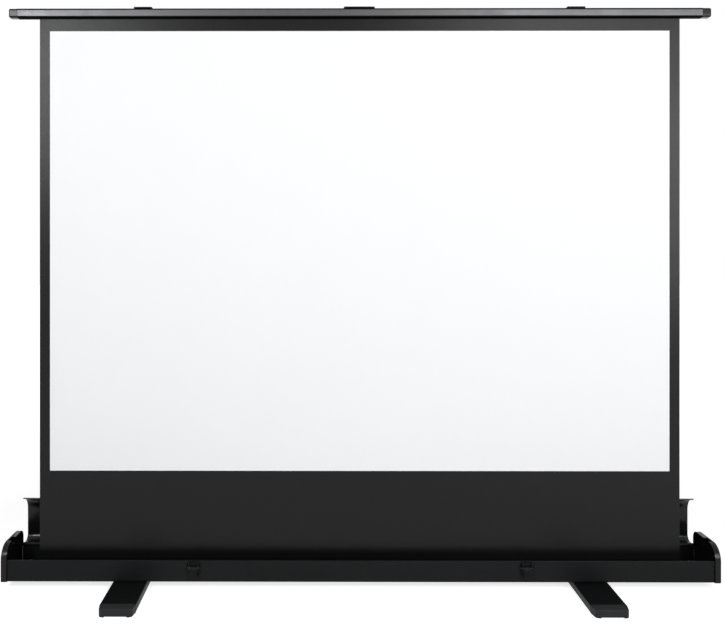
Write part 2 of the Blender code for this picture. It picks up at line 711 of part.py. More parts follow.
def build_spring():
    """The return spring, a coil in the right end of the roller tube."""
    curve = bpy.data.curves.new("roller_spring", "CURVE")
    curve.dimensions = "3D"
    curve.bevel_depth = SPRING_WIRE_RADIUS
    curve.bevel_resolution = 1
    curve.use_fill_caps = True
    count = SPRING_COILS * SPRING_COIL_POINTS
    spline = curve.splines.new("POLY")
    spline.points.add(count)
    end_x = ROLLER_HALF - PLUG_DEPTH - 2 * SPRING_WIRE_RADIUS - TOUCH_GAP
    for step, point in enumerate(spline.points):
        angle = 2 * math.pi * step / SPRING_COIL_POINTS
        along = end_x - SPRING_LENGTH * step / count
        across = ROLLER_Y + SPRING_RADIUS * math.cos(angle)
        up = ROLLER_Z + SPRING_RADIUS * math.sin(angle)
        point.co = (along, across, up, 1)
    spring = bpy.data.objects.new("roller_spring", curve)
    curve.materials.append(materials["steel"])
    parts.objects.link(spring)
    return spring


def build_roller_bracket(word, side):
    """An upright plate with a flange on the case floor. Its fixed pin carries one end of the roller."""
    low_z = CASE_FLOOR_Z + TOUCH_GAP
    half = ROLLER_BRACKET_DEPTH / 2
    head = arc((ROLLER_Y, ROLLER_Z), ROLLER_BRACKET_HEAD, 0, 180, WIDE_ARC_STEPS)
    outline = [(ROLLER_Y - half, low_z), (ROLLER_Y + half, low_z)] + head
    pin_hole = circle((ROLLER_Y, ROLLER_Z), ROLLER_PIN_RADIUS + TOUCH_GAP)
    middle = side * (BRACKET_INNER_X + BRACKET_OUTER_X) / 2
    plate = outline_piece(
        "roller_bracket_" + word, [outline, pin_hole], ROLLER_BRACKET_THICKNESS,
        (middle, 0, 0), ALONG_X, "steel",
    )
    flange_x = sorted((middle, side * (BRACKET_OUTER_X + ROLLER_BRACKET_FOOT)))
    flange = box(
        "bracket_flange_" + word, (flange_x[0], ROLLER_Y - half, low_z),
        (flange_x[1], ROLLER_Y + half, low_z + ROLLER_BRACKET_THICKNESS), collection=cutters,
    )
    cut(plate, flange, "UNION")


def build_roller_pins():
    """The idle pin on the left, and on the right the mandrel that the spring winds against."""
    reach = ROLLER_HALF - PLUG_DEPTH
    outer = BRACKET_OUTER_X + ROLLER_BRACKET_THICKNESS
    start = (-outer, ROLLER_Y, ROLLER_Z)
    rod("idle_pin", ROLLER_PIN_RADIUS, start, (-reach, ROLLER_Y, ROLLER_Z), Z_TO_X, "steel")
    inner = reach - SPRING_LENGTH - MANDREL_EXTRA
    end = (outer, ROLLER_Y, ROLLER_Z)
    rod("spring_mandrel", ROLLER_PIN_RADIUS, (inner, ROLLER_Y, ROLLER_Z), end, Z_TO_X, "steel")


def build_fabric():
    half = FABRIC_WIDTH / 2
    back = FABRIC_Y + FABRIC_THICKNESS / 2
    front = FABRIC_Y - FABRIC_THICKNESS / 2
    box("screen_fabric", (-half, front, ROLLER_Z), (half, back, BAR_BOTTOM_Z + BAR_WALL), "black_fabric")
    picture_back = front - TOUCH_GAP
    box(
        "viewing_surface",
        (-PICTURE_WIDTH / 2, picture_back - PICTURE_THICKNESS, PICTURE_BOTTOM_Z),
        (PICTURE_WIDTH / 2, picture_back, PICTURE_BOTTOM_Z + PICTURE_HEIGHT),
        "white_fabric",
    )


def bar_corners(inset):
    """The rounded outline of the top bar, drawn in by an inset, with each corner's arc by itself."""
    radius = BAR_CORNER_RADIUS - inset
    corners = []
    for across, up, start in (
        (BAR_REAR_Y, BAR_BOTTOM_Z, 270), (BAR_REAR_Y, BAR_TOP_Z, 0),
        (BAR_FRONT_Y, BAR_TOP_Z, 90), (BAR_FRONT_Y, BAR_BOTTOM_Z, 180),
    ):
        inward_y = BAR_CORNER_RADIUS if across == BAR_FRONT_Y else -BAR_CORNER_RADIUS
        inward_z = BAR_CORNER_RADIUS if up == BAR_BOTTOM_Z else -BAR_CORNER_RADIUS
        corners.append(arc((across + inward_y, up + inward_z), radius, start, start + 90, CORNER_STEPS))
    return corners


def bar_section():
    """The top bar's hollow section, open below at the slot that the fabric passes through."""
    slot = BAR_SLOT / 2
    outer = [point for corner in bar_corners(0) for point in corner]
    inner = [point for corner in bar_corners(BAR_WALL) for point in corner]
    bottom = BAR_BOTTOM_Z
    points = [(FABRIC_Y + slot, bottom)] + outer + [(FABRIC_Y - slot, bottom)]
    points += [(FABRIC_Y - slot, bottom + BAR_WALL)] + inner[::-1]
    points.append((FABRIC_Y + slot, bottom + BAR_WALL))
    return points


def build_top_bar(bar_joint):
    bar = outline_piece("top_bar", [bar_section()], 2 * BAR_HALF, (0, 0, 0), ALONG_X, "aluminium")
    hang(bar, bar_joint)
    rod_z = BAR_BOTTOM_Z + BAR_WALL + TOUCH_GAP + HEM_ROD_RADIUS
    hem = rod(
        "hem_rod", HEM_ROD_RADIUS, (-FABRIC_WIDTH / 2, FABRIC_Y, rod_z),
        (FABRIC_WIDTH / 2, FABRIC_Y, rod_z), Z_TO_X, "steel", sides=SMALL_ROUND_SIDES,
    )
    hang(hem, bar_joint)
    for word, side in SIDES:
        hang(build_bar_plug(word, side), bar_joint)
        hang(build_arm_bracket(word, side), bar_joint)
        layer = ARM_LAYERS[word]["upper"]
        start = (side * ARM_X, BAR_REAR_Y + TOUCH_GAP, TOP_PIVOT_Z)
        end = (side * ARM_X, layer_front(layer) + ARM_THICKNESS, TOP_PIVOT_Z)
        hang(rod("top_pin_" + word, ARM_PIN_RADIUS, start, end, ALONG_Y, "steel"), bar_joint)
    hang(build_pull_handle(), bar_joint)


def build_bar_plug(word, side):
    length = BAR_PLUG_LENGTH - TOUCH_GAP
    middle = side * (BAR_END_X - length / 2)
    outer = [point for corner in bar_corners(0) for point in corner]
    plug = outline_piece("bar_end_plug_" + word, [outer], length, (middle, 0, 0), ALONG_X, "gloss_black")
    bevel_where(plug, BAR_PLUG_ROUND, 3, lambda end: end.z * side > length / 2 - TOUCH_GAP)
    inner = [point for corner in bar_corners(BAR_WALL + TOUCH_GAP) for point in corner]
    start = side * (BAR_HALF - BAR_PLUG_SPIGOT)
    spigot = outline_piece(
        "bar_spigot_" + word, [inner], abs(middle - start), ((middle + start) / 2, 0, 0),
        ALONG_X, collection=cutters,
    )
    cut(plug, spigot, "UNION")
    return plug


def build_arm_bracket(word, side):
    """A saddle over the top bar. Its rear leg holds the pin of an upper arm."""
    crown_low = BAR_TOP_Z + TOUCH_GAP
    crown_high = crown_low + BRACKET_CROWN
    leg_low = TOP_PIVOT_Z - BRACKET_DROP
    round_off = BRACKET_CROWN / 2
    outline = [
        (BAR_FRONT_Y + round_off, crown_low),
        (BAR_REAR_Y + TOUCH_GAP, crown_low),
        (BAR_REAR_Y + TOUCH_GAP, leg_low),
        (BRACKET_REAR_Y, leg_low),
    ]
    outline += arc((BRACKET_REAR_Y - round_off, crown_high - round_off), round_off, 0, 90, CORNER_STEPS)
    outline += arc((BAR_FRONT_Y + 2 * round_off, crown_high - round_off), round_off, 90, 180, CORNER_STEPS)
    bracket = outline_piece(
        "arm_bracket_" + word, [outline], BRACKET_WIDTH, (side * ARM_X, 0, 0), ALONG_X, "gloss_black"
    )
    hole = rod(
        "arm_bracket_hole_" + word, ARM_PIN_RADIUS + TOUCH_GAP,
        (side * ARM_X, BAR_REAR_Y - TOUCH_GAP, TOP_PIVOT_Z),
        (side * ARM_X, BRACKET_REAR_Y + CUT_OVERRUN, TOP_PIVOT_Z), ALONG_Y, collection=cutters,
    )
    cut(bracket, hole)
    return bracket


def build_pull_handle():
    """A saddle over the middle of the bar, with a lip behind it for the fingers."""
    crown_low = BAR_TOP_Z + TOUCH_GAP
    crown_high = crown_low + BRACKET_CROWN
    round_off = BRACKET_CROWN / 2
    lip_low = crown_low - HANDLE_LIP_DROP
    lip_rear = BAR_REAR_Y + HANDLE_REACH
    lip_front = lip_rear - HANDLE_LIP
    leg_rear = BAR_REAR_Y + TOUCH_GAP + BRACKET_PLATE
    outline = [
        (BAR_FRONT_Y + round_off, crown_low),
        (BAR_REAR_Y + TOUCH_GAP, crown_low),
        (BAR_REAR_Y + TOUCH_GAP, lip_low),
        (leg_rear, lip_low),
        (leg_rear, crown_low),
        (lip_front, crown_low),
        (lip_front, lip_low),
        (lip_rear, lip_low),
    ]
    outline += arc((lip_rear - round_off, crown_high - round_off), round_off, 0, 90, CORNER_STEPS)
    outline += arc((BAR_FRONT_Y + 2 * round_off, crown_high - round_off), round_off, 90, 180, CORNER_STEPS)
    return outline_piece("pull_handle", [outline], HANDLE_WIDTH, (0, 0, 0), ALONG_X, "gloss_black")


def layer_front(layer):
    """The front face of one of the four layers that the arms fold in."""
    return ARM_FRONT_Y + layer * (ARM_THICKNESS + ARM_LAYER_GAP)


def build_arm_link(name, x, z, lean, layer, axis):
    """One flat link with a bore at each end, standing on its lower pivot and leaning sideways."""
    half = ARM_WIDTH / 2
    outline = arc((0, ARM_LINK), half, 0, 180, WIDE_ARC_STEPS) + arc((0, 0), half, 180, 360, WIDE_ARC_STEPS)
    bore = ARM_PIN_RADIUS + RUNNING_GAP
    loops = [outline, circle((0, 0), bore), circle((0, ARM_LINK), bore)]
    y = layer_front(layer) + ARM_THICKNESS / 2
    link = outline_piece(
        name, loops, ARM_THICKNESS, (x, y, z), (math.pi / 2, math.radians(lean), 0), "black_anodised"
    )
    hang(link, axis)


def build_arms():
    """Two arms of two links each. The top bar hangs on the left one, and pins to the right one."""
    bar_joint = None
    for word, side in SIDES:
        layers = ARM_LAYERS[word]
        lean = -side * REST_LEAN_DEG
        base = joint("lower_arm_" + word, (side * ARM_X, 0, BASE_PIVOT_Z))
        elbow = joint("elbow_" + word, (side * ELBOW_X, 0, ELBOW_Z), base)
        build_arm_link("lower_arm_" + word, side * ARM_X, BASE_PIVOT_Z, lean, layers["lower"], base)
        build_arm_link("upper_arm_" + word, side * ELBOW_X, ELBOW_Z, -lean, layers["upper"], elbow)
        start = (side * ELBOW_X, layer_front(layers["upper"]), ELBOW_Z)
        end = (side * ELBOW_X, layer_front(layers["lower"]) + ARM_THICKNESS, ELBOW_Z)
        hang(rod("elbow_pin_" + word, ARM_PIN_RADIUS, start, end, ALONG_Y, "steel"), base)
        build_arm_base(word, side, layers["lower"])
        if word == "left":
            bar_joint = joint("bar_level", (side * ARM_X, 0, TOP_PIVOT_Z), elbow)
    build_top_bar(bar_joint)


def build_arm_base(word, side, layer):
    """A fork on the case floor whose pin carries a lower arm."""
    low_z = CASE_FLOOR_Z + TOUCH_GAP
    gap_front = layer_front(layer) - ARM_LAYER_GAP
    gap_rear = layer_front(layer) + ARM_THICKNESS + ARM_LAYER_GAP
    front = gap_front - BASE_CHEEK
    rear = gap_rear + BASE_CHEEK
    half = BASE_WIDTH / 2
    x = side * ARM_X
    head = arc((0, BASE_PIVOT_Z), BASE_HEAD, 0, 180, WIDE_ARC_STEPS)
    outline = [(-half, low_z), (half, low_z), (half, low_z + BASE_FLANGE)] + head
    outline.append((-half, low_z + BASE_FLANGE))
    hole = circle((0, BASE_PIVOT_Z), ARM_PIN_RADIUS + TOUCH_GAP)
    fork = outline_piece(
        "arm_base_" + word, [outline, hole], rear - front, (x, (front + rear) / 2, 0), ALONG_Y, "steel"
    )
    throat = box(
        "arm_base_throat_" + word, (x - half - CUT_OVERRUN, gap_front, low_z + BASE_FLANGE),
        (x + half + CUT_OVERRUN, gap_rear, BASE_PIVOT_Z + BASE_HEAD + CUT_OVERRUN), collection=cutters,
    )
    cut(fork, throat)
    pin_ends = ((x, front, BASE_PIVOT_Z), (x, rear, BASE_PIVOT_Z))
    rod("base_pin_" + word, ARM_PIN_RADIUS, *pin_ends, ALONG_Y, "steel")


def build_foot(word, side):
    swivel = joint("foot_swivel_" + word, (side * FOOT_X, 0, 0))
    half = FOOT_WIDTH / 2
    top = FOOT_TOP_RADIUS
    wall = FOOT_WALL
    outline = [(-half, FOOT_PAD_RISE), (half, FOOT_PAD_RISE)]
    outline += arc((half - top, FOOT_HEIGHT - top), top, 0, 90, CORNER_STEPS)
    outline += arc((top - half, FOOT_HEIGHT - top), top, 90, 180, CORNER_STEPS)
    hollow = [
        (wall - half, FOOT_PAD_RISE + wall), (half - wall, FOOT_PAD_RISE + wall),
        (half - wall, FOOT_HEIGHT - wall), (wall - half, FOOT_HEIGHT - wall),
    ]
    hollow = [(across * FOOT_HOLLOW_SHARE, up) for across, up in hollow]
    body_half = FOOT_LENGTH / 2 - FOOT_CAP_LENGTH
    foot = outline_piece(
        "foot_" + word, [outline, hollow], 2 * body_half, (side * FOOT_X, 0, 0), ALONG_Y, "charcoal_paint"
    )
    middle_z = (FOOT_PAD_RISE + FOOT_HEIGHT) / 2
    shank = rod(
        "foot_bolt_hole_" + word, FOOT_BOLT_RADIUS + RUNNING_GAP, (side * FOOT_X, 0, middle_z),
        (side * FOOT_X, 0, FOOT_HEIGHT + CUT_OVERRUN), ALONG_Z, collection=cutters,
    )
    access = rod(
        "foot_access_" + word, FOOT_ACCESS_RADIUS, (side * FOOT_X, 0, -CUT_OVERRUN),
        (side * FOOT_X, 0, middle_z), ALONG_Z, collection=cutters,
    )
    cut(foot, shank)
    cut(foot, access)
    hang(foot, swivel)
    for end_word, end in (("front", -1), ("rear", 1)):
        hang(build_foot_cap(word, side, end_word, end, body_half), swivel)
    build_foot_bolt(word, side)


def build_foot_cap(word, side, end_word, end, body_half):
    """The moulded tip of a foot, narrower at its end, with two pads on the floor."""
    x = side * FOOT_X
    inner = body_half + TOUCH_GAP
    outer = FOOT_LENGTH / 2
    corner = FOOT_CAP_CORNER
    half = FOOT_WIDTH / 2
    tip = FOOT_TIP_WIDTH / 2
    outline = [(half, inner)]
    outline += arc((tip - corner, outer - corner), corner, 0, 90, CORNER_STEPS)
    outline += arc((corner - tip, outer - corner), corner, 90, 180, CORNER_STEPS)
    outline.append((-half, inner))
    outline = [(across, end * along) for across, along in outline]
    cap = outline_piece(
        "foot_cap_" + end_word + "_" + word, [outline], FOOT_HEIGHT, (x, 0, FOOT_HEIGHT / 2),
        ALONG_Z, "grey_plastic",
    )
    bevel_where(cap, FOOT_CAP_ROUND, 2, lambda spot: spot.z > 0 and end * spot.y > inner + TOUCH_GAP)
    spigot_y = sorted((end * (body_half - FOOT_SPIGOT), end * (inner + FOOT_WALL)))
    spigot_half = (half - FOOT_WALL) * FOOT_HOLLOW_SHARE - TOUCH_GAP
    spigot = box(
        "foot_spigot_" + end_word + "_" + word,
        (x - spigot_half, spigot_y[0], FOOT_PAD_RISE + FOOT_WALL + TOUCH_GAP),
        (x + spigot_half, spigot_y[1], FOOT_HEIGHT - FOOT_WALL - TOUCH_GAP), collection=cutters,
    )
    cut(cap, spigot, "UNION")
    relief_half = tip - FOOT_PAD_WIDTH
    relief_y = sorted((end * (body_half - CUT_OVERRUN), end * (outer + CUT_OVERRUN)))
    relief = box(
        "foot_relief_" + end_word + "_" + word, (x - relief_half, relief_y[0], -CUT_OVERRUN),
        (x + relief_half, relief_y[1], FOOT_PAD_RISE), collection=cutters,
    )
    cut(cap, relief)
    return cap


def build_foot_bolt(word, side):
    """The swivel bolt, with its head inside the foot, and the plate in the case that it screws into."""
    plate_low = CASE_FLOOR_Z + TOUCH_GAP
    plate_high = plate_low + FOOT_PLATE_THICKNESS
    head_top = FOOT_HEIGHT - FOOT_WALL - TOUCH_GAP
    shank_top = plate_high + TOUCH_GAP
    profile = [
        (0, shank_top),
        (FOOT_BOLT_RADIUS, shank_top),
        (FOOT_BOLT_RADIUS, head_top),
        (FOOT_BOLT_HEAD_RADIUS, head_top),
        (FOOT_BOLT_HEAD_RADIUS, head_top - FOOT_BOLT_HEAD),
        (0, head_top - FOOT_BOLT_HEAD),
    ]
    turned("foot_bolt_" + word, profile, (side * FOOT_X, 0, 0), ALONG_Z, "steel")
    plate_loops = [
        rounded_rectangle(
            (-FOOT_PLATE_LENGTH / 2, -FOOT_PLATE_DEPTH / 2), (FOOT_PLATE_LENGTH / 2, FOOT_PLATE_DEPTH / 2),
            FOOT_PLATE_THICKNESS,
        ),
        circle((0, 0), FOOT_BOLT_RADIUS + TOUCH_GAP),
    ]
    outline_piece(
        "foot_plate_" + word, plate_loops, FOOT_PLATE_THICKNESS,
        (side * FOOT_X, 0, (plate_low + plate_high) / 2), ALONG_Z, "steel",
    )


def build_latch(word, side):
    """Plate and pin on the case, a lever that turns on the pin, and a wire bail on the lever."""
    x = side * LATCH_X
    half = LATCH_WIDTH / 2
    plate = box(
        "latch_plate_" + word, (x - half, LATCH_PLATE_FRONT_Y, LATCH_BOTTOM_Z),
        (x + half, CASE_FRONT_Y - TOUCH_GAP, LATCH_BOTTOM_Z + LATCH_HEIGHT), "matte_black_plastic",
    )
    pin_at = (LATCH_PIN_Y, LATCH_PIN_Z)
    root_y = LATCH_PLATE_FRONT_Y + LATCH_PLATE / 2
    ear = [(root_y, LATCH_PIN_Z + LATCH_EAR_RADIUS)]
    ear += arc(pin_at, LATCH_EAR_RADIUS, 90, 270, WIDE_ARC_STEPS)
    ear.append((root_y, LATCH_PIN_Z - LATCH_EAR_RADIUS))
    for place, sign in (("low", -1), ("high", 1)):
        ear_x = x + sign * (half - LATCH_EAR / 2)
        lug = outline_piece(
            "latch_ear_" + place + "_" + word, [ear], LATCH_EAR, (ear_x, 0, 0), ALONG_X, collection=cutters
        )
        cut(plate, lug, "UNION")
    drill = rod(
        "latch_drill_" + word, LATCH_PIN_RADIUS + TOUCH_GAP, (x - half - CUT_OVERRUN, *pin_at),
        (x + half + CUT_OVERRUN, *pin_at), Z_TO_X, collection=cutters, sides=SMALL_ROUND_SIDES,
    )
    cut(plate, drill)
    rod(
        "latch_pin_" + word, LATCH_PIN_RADIUS, (x - half, *pin_at), (x + half, *pin_at), Z_TO_X,
        "steel", sides=SMALL_ROUND_SIDES,
    )
    lever_joint = joint("latch_lever_" + word, (x, *pin_at))
    hang(build_latch_lever(word, x), lever_joint)
    bail_joint = joint("latch_bail_" + word, (x, BAIL_PIN_Y, BAIL_PIN_Z), lever_joint)
    hang(build_latch_bail(word, x), bail_joint)


def build_latch_lever(word, x):
    back = LATCH_PIN_Y - LEVER_BLADE_BACK
    front = back - LEVER_BLADE
    low = LATCH_PIN_Z - LEVER_LENGTH
    shoulder = LATCH_PIN_Z - LEVER_SHOULDER
    centre = (LATCH_PIN_Y, LATCH_PIN_Z)
    outline = [(back, low), (back, LATCH_PIN_Z - LEVER_BARREL_RADIUS)]
    outline += arc(centre, LEVER_BARREL_RADIUS, -90, 180, WIDE_ARC_STEPS)
    outline += [(front, shoulder), (front, low + 2 * LEVER_TIP_FLARE), (front - LEVER_TIP_FLARE, low)]
    pin_hole = circle(centre, LATCH_PIN_RADIUS + TOUCH_GAP, SMALL_ROUND_SIDES)
    bail_hole = circle((BAIL_PIN_Y, BAIL_PIN_Z), BAIL_WIRE + TOUCH_GAP, SMALL_ROUND_SIDES)
    return outline_piece(
        "latch_lever_" + word, [outline, pin_hole, bail_hole], 2 * LEVER_HALF_WIDTH, (x, 0, 0),
        ALONG_X, "matte_black_plastic",
    )


def build_latch_bail(word, x):
    """A bent wire: in from one side of the lever, up past the pin, over the top and down again."""
    top_y = LID_FRONT_Y - TOUCH_GAP - BAIL_WIRE
    top_z = BAIL_PIN_Z + BAIL_RISE
    knee_z = BAIL_PIN_Z + BAIL_KNEE_RISE
    inner = LEVER_HALF_WIDTH - BAIL_ENTRY
    corner = BAIL_CORNER
    half = [
        (-inner, BAIL_PIN_Y, BAIL_PIN_Z),
        (corner / 2 - BAIL_HALF, BAIL_PIN_Y, BAIL_PIN_Z),
        (-BAIL_HALF, BAIL_PIN_Y, BAIL_PIN_Z + corner / 2),
        (-BAIL_HALF, BAIL_PIN_Y, knee_z),
        (-BAIL_HALF, top_y, top_z - corner),
        (corner - BAIL_HALF, top_y, top_z),
    ]
    route = half + [(-across, y, z) for across, y, z in reversed(half)]
    curve = bpy.data.curves.new("latch_bail_" + word, "CURVE")
    curve.dimensions = "3D"
    curve.bevel_depth = BAIL_WIRE
    curve.bevel_resolution = 2
    curve.use_fill_caps = True
    spline = curve.splines.new("POLY")
    spline.points.add(len(route) - 1)
    for point, (across, y, z) in zip(spline.points, route):
        point.co = (x + across, y, z, 1)
    bail = bpy.data.objects.new("latch_bail_" + word, curve)
    curve.materials.append(materials["steel"])
    parts.objects.link(bail)
    return bail


def build_screen():
    start_scene()
    make_finishes()
    build_case()
    build_lid()
    build_roller()
    build_roller_pins()
    build_fabric()
    build_arms()
    for word, side in SIDES:
        build_end_cap(word, side)
        build_roller_bracket(word, side)
        build_foot(word, side)
        build_latch(word, side)


build_screen()
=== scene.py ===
import json
import math

import bmesh
import bpy
from bpy.props import FloatProperty, FloatVectorProperty, PointerProperty
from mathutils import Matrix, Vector


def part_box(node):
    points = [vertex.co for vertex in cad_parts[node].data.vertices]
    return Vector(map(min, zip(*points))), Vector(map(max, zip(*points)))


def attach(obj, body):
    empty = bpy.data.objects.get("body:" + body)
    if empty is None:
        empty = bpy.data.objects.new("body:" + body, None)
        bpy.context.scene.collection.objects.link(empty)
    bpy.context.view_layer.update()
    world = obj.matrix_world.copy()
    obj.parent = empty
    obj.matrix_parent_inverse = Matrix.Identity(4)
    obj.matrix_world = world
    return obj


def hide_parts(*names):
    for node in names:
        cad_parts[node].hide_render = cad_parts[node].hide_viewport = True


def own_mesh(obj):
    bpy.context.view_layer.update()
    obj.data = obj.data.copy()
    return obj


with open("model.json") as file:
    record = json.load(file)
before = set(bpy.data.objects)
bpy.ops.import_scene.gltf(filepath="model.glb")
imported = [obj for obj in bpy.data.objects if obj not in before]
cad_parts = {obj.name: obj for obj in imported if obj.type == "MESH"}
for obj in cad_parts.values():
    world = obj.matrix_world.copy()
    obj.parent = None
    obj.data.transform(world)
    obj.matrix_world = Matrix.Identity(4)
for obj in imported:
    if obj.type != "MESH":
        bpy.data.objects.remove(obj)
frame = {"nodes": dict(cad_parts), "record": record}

bl_info = {
    "name": "Pull up projection screen",
    "version": (1, 0, 0),
    "blender": (4, 5, 0),
    "location": "3D View > Sidebar > Screen",
    "description": "Builds the visible pieces of a pull up projection screen round its CAD frame",
    "category": "Object",
}

SIDES = (("left", -1), ("right", 1))
SMOOTH_DEG = 35  # faces that meet at less than this are shaded as one
MOULDED_DEG = 40  # edges of a moulding that are sharper than this are rounded
EXTRUDED_DEG = 50  # the same for an extrusion
SPECK = 0.001  # a small size, where the exact one doesn't matter
OVERRUN = 0.002  # cutters past what they cut
WELD = 0.000002  # points closer than this become one
NEAR = WELD * 5  # points closer than this are in one place
TOUCH = WELD * 10  # between two pieces that touch
NUDGE = WELD * 50  # keeps two faces out of one plane
CORNER_STEPS = 8
WIDE_STEPS = 28
HOLE_SIDES = 32
RIVET_SIDES = 20
WIRE_STEPS = 4
END_STEPS = 6  # rounds on the ends of mouldings
EDGE_STEPS = 5  # rounds on their other edges
CAP_RIBS = (0.30, 0.62)  # shares of the end cap's depth
GRIP_GROOVES = (0.42, 0.55, 0.68)  # shares of the pull handle's depth
ROLL_TURNS = 3
BAIL_KNEE = 0.44  # share of the bail's height where it leans in
BAIL_BEND = 2.5  # reach of the bail's bends, in wire radii
BAIL_END = 4  # length of the bail's ends in the lever, in wire radii
BAIL_CHAMFER = 0.4  # share of a bend cut from the bail's upper corners
FINGER_RADIUS = 2  # of the lever's hollow for a finger, in blade thicknesses
FINGER_LOW = 3  # lower end of that hollow above the lever's, in tip flares
FINGER_HIGH = 2  # upper end of that hollow below the pin, in barrel radii
PALER = (2.2, 0.01)  # rubbed plastic: times the first, plus the second
SOLID_COLOURS = {entry["slot"]: entry["base_color"] for entry in frame["record"]["materials"]}
finishes = {}


def node_box(node):
    low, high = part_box(node)
    return Vector(low), Vector(high)


def centre(node):
    """The middle of a CAD node's box."""
    return [(a + b) / 2 for a, b in zip(*node_box(node))]


def length(label, value, note):
    return FloatProperty(name=label, description=note, default=value, unit="LENGTH", precision=4)


def share(label, value, note):
    return FloatProperty(
        name=label, description=note, default=value, min=0, max=1, subtype="FACTOR"
    )


def angle(label, degrees, note):
    turn = math.radians(degrees)
    return FloatProperty(name=label, description=note, default=turn, subtype="ANGLE")


def power(label, watts, note):
    return FloatProperty(name=label, description=note, default=watts, unit="POWER")


def tint(label, value, note):
    return FloatVectorProperty(
        name=label, description=note, default=value, size=3, min=0, max=1, subtype="COLOR"
    )


class ScreenCaseSizes(bpy.types.PropertyGroup):
    """Sizes of the case, the lid and the end caps."""

    depth: length("Depth", 0.121, "Case from front to rear")
    wall_height: length("Wall height", 0.056, "Front wall of the case")
    wall: length("Wall", 0.0028, "Thickness of the case")
    corner: length("Corner", 0.005, "Outer radius of the lower corners")
    lip_width: length("Lip width", 0.0048, "Bead along the top of the front wall")
    lip_height: length("Lip height", 0.0042, "Bead along the top of the front wall")
    port_radius: length("Port radius", 0.004, "Outer radius of the screw ports")
    port_bore: length("Port bore", 0.002, "Bore of the screw ports")
    port_inset: length("Port inset", 0.010, "Screw ports from the walls")
    port_mouth: angle("Port mouth", 60, "Where a screw port opens")
    hinge_y: length("Hinge depth", 0.060, "Hinge axis from the middle of the case")
    socket_radius: length("Socket radius", 0.00305, "Bore of the hinge socket")
    socket_wall: length("Socket wall", 0.00195, "Wall of the hinge socket")
    socket_low: angle("Socket start", -12, "Where the open side of the socket starts")
    socket_high: angle("Socket end", 103, "Where the open side of the socket ends")
    lid_wall: length("Lid wall", 0.0022, "Thickness of the lid")
    lid_rise: length("Lid rise", 0.038, "Closed lid above its hinge")
    lid_front: length("Lid front", -0.064, "Front face of the closed lid")
    lid_lap: length("Lid lap", 0.003, "Closed lid over the front lip")
    lid_front_radius: length("Lid front radius", 0.040, "Front curve of the lid")
    lid_rear_radius: length("Lid rear radius", 0.020, "Rear curve of the lid")
    bead: length("Hinge bead", 0.00275, "Round bead that turns in the socket")
    neck: length("Hinge neck", 0.0012, "Thin neck above the bead")
    neck_length: length("Neck length", 0.0062, "From the hinge axis to the lid's wall")
    neck_flare: length("Neck flare", 0.0016, "Where the neck widens into the wall")
    cap_margin: length("Cap margin", 0.001, "End cap proud of the lid at the front and top")
    cap_rear_margin: length("Cap rear margin", 0.006, "End cap behind the hinge axis")
    cap_corner: length("Cap corner", 0.004, "Lower corners of the end cap")
    cap_edge: length("Cap edge", 0.003, "Rounded outer edge of the end cap")
    cap_skin: length("Cap skin", 0.003, "Wall of the end cap")
    cap_rib: length("Cap rib", 0.0016, "Stiffening ribs in the end cap")
    cap_slot_gap: length("Bar slot gap", 0.002, "Room round the bar's end in the cap")
    screw_seat: length("Screw seat", 0.0040, "Radius of the screw's seat")
    screw_head: length("Screw head", 0.0023, "Depth of the screw's seat")
    soft_edge: length("Soft edge", 0.0004, "Small round on sharp edges")


class ScreenBarSizes(bpy.types.PropertyGroup):
    """Sizes of the top bar and what it carries."""

    corner: length("Corner", 0.006, "Corner radius of the bar")
    wall: length("Wall", 0.0016, "Thickness of the bar")
    slot: length("Slot", 0.005, "Slot for the sheet")
    soft_edge: length("Soft edge", 0.0003, "Small round on sharp edges")
    collar: length("Collar", 0.0028, "Raised collar of an end plug")
    collar_step: length("Collar step", 0.0005, "Plug inside its collar")
    plug_round: length("Plug round", 0.0032, "Rounded outer end of a plug")
    saddle_crown: length("Saddle crown", 0.0035, "Thickness of a saddle over the bar")
    saddle_plate: length("Saddle plate", 0.0027, "Thickness of the handle's rear leg")
    saddle_round: length("Saddle round", 0.0012, "Rounded edges of a saddle")
    saddle_corner: length("Saddle corner", 0.004, "Rounded corners of a saddle, from above")
    pin_gap: length("Pin gap", 0.0001, "Room round the pin in an arm saddle")
    grip_lip: length("Grip lip", 0.004, "Finger lip of the pull handle")
    grip_drop: length("Grip drop", 0.011, "Height of the finger lip")
    groove: length("Grip groove", 0.0016, "Grooves on the crown of the pull handle")


class ScreenSheetSizes(bpy.types.PropertyGroup):
    """Sizes of the projection sheet."""

    thickness: length("Thickness", 0.0003, "Thickness of the sheet")
    coat: length("Coat", 0.00022, "Thickness of the white surface")
    ripple: length("Ripple", 0.0009, "Depth of the sheet's faint waves")
    ripple_size: length("Ripple size", 0.30, "Distance between the faint waves")
    cell: length("Cell", 0.024, "Size of the sheet's mesh cells")
    turn_step: angle("Turn step", 12, "Step of the wound sheet's spiral")
    keep: share("Folded share", 0.01848, "What is left of the sheet's height when the bar is down")
    white_keep: share("White folded share", 0.0087, "The same for the white surface")
    white_anchor: length("White anchor", 0.0337, "Height that the white surface folds towards")


class ScreenArmSizes(bpy.types.PropertyGroup):
    """Sizes of the folding arms."""

    width: length("Width", 0.024, "Width of a link")
    thickness: length("Thickness", 0.006, "Thickness of a link")
    link: length("Link", 0.728568, "Between a link's two pins")
    lean: angle("Lean", 10, "Lean of the open links")
    bore: length("Bore", 0.0045, "Radius of a pin's bore")
    rim: length("Rim", 0.004, "Flat rim round a link's long hollow")
    hollow: length("Hollow", 0.0009, "Depth of a link's long hollow")
    boss: length("Boss", 0.024, "Full thickness round each pin")
    soft_edge: length("Soft edge", 0.0007, "Small round on a link's edges")


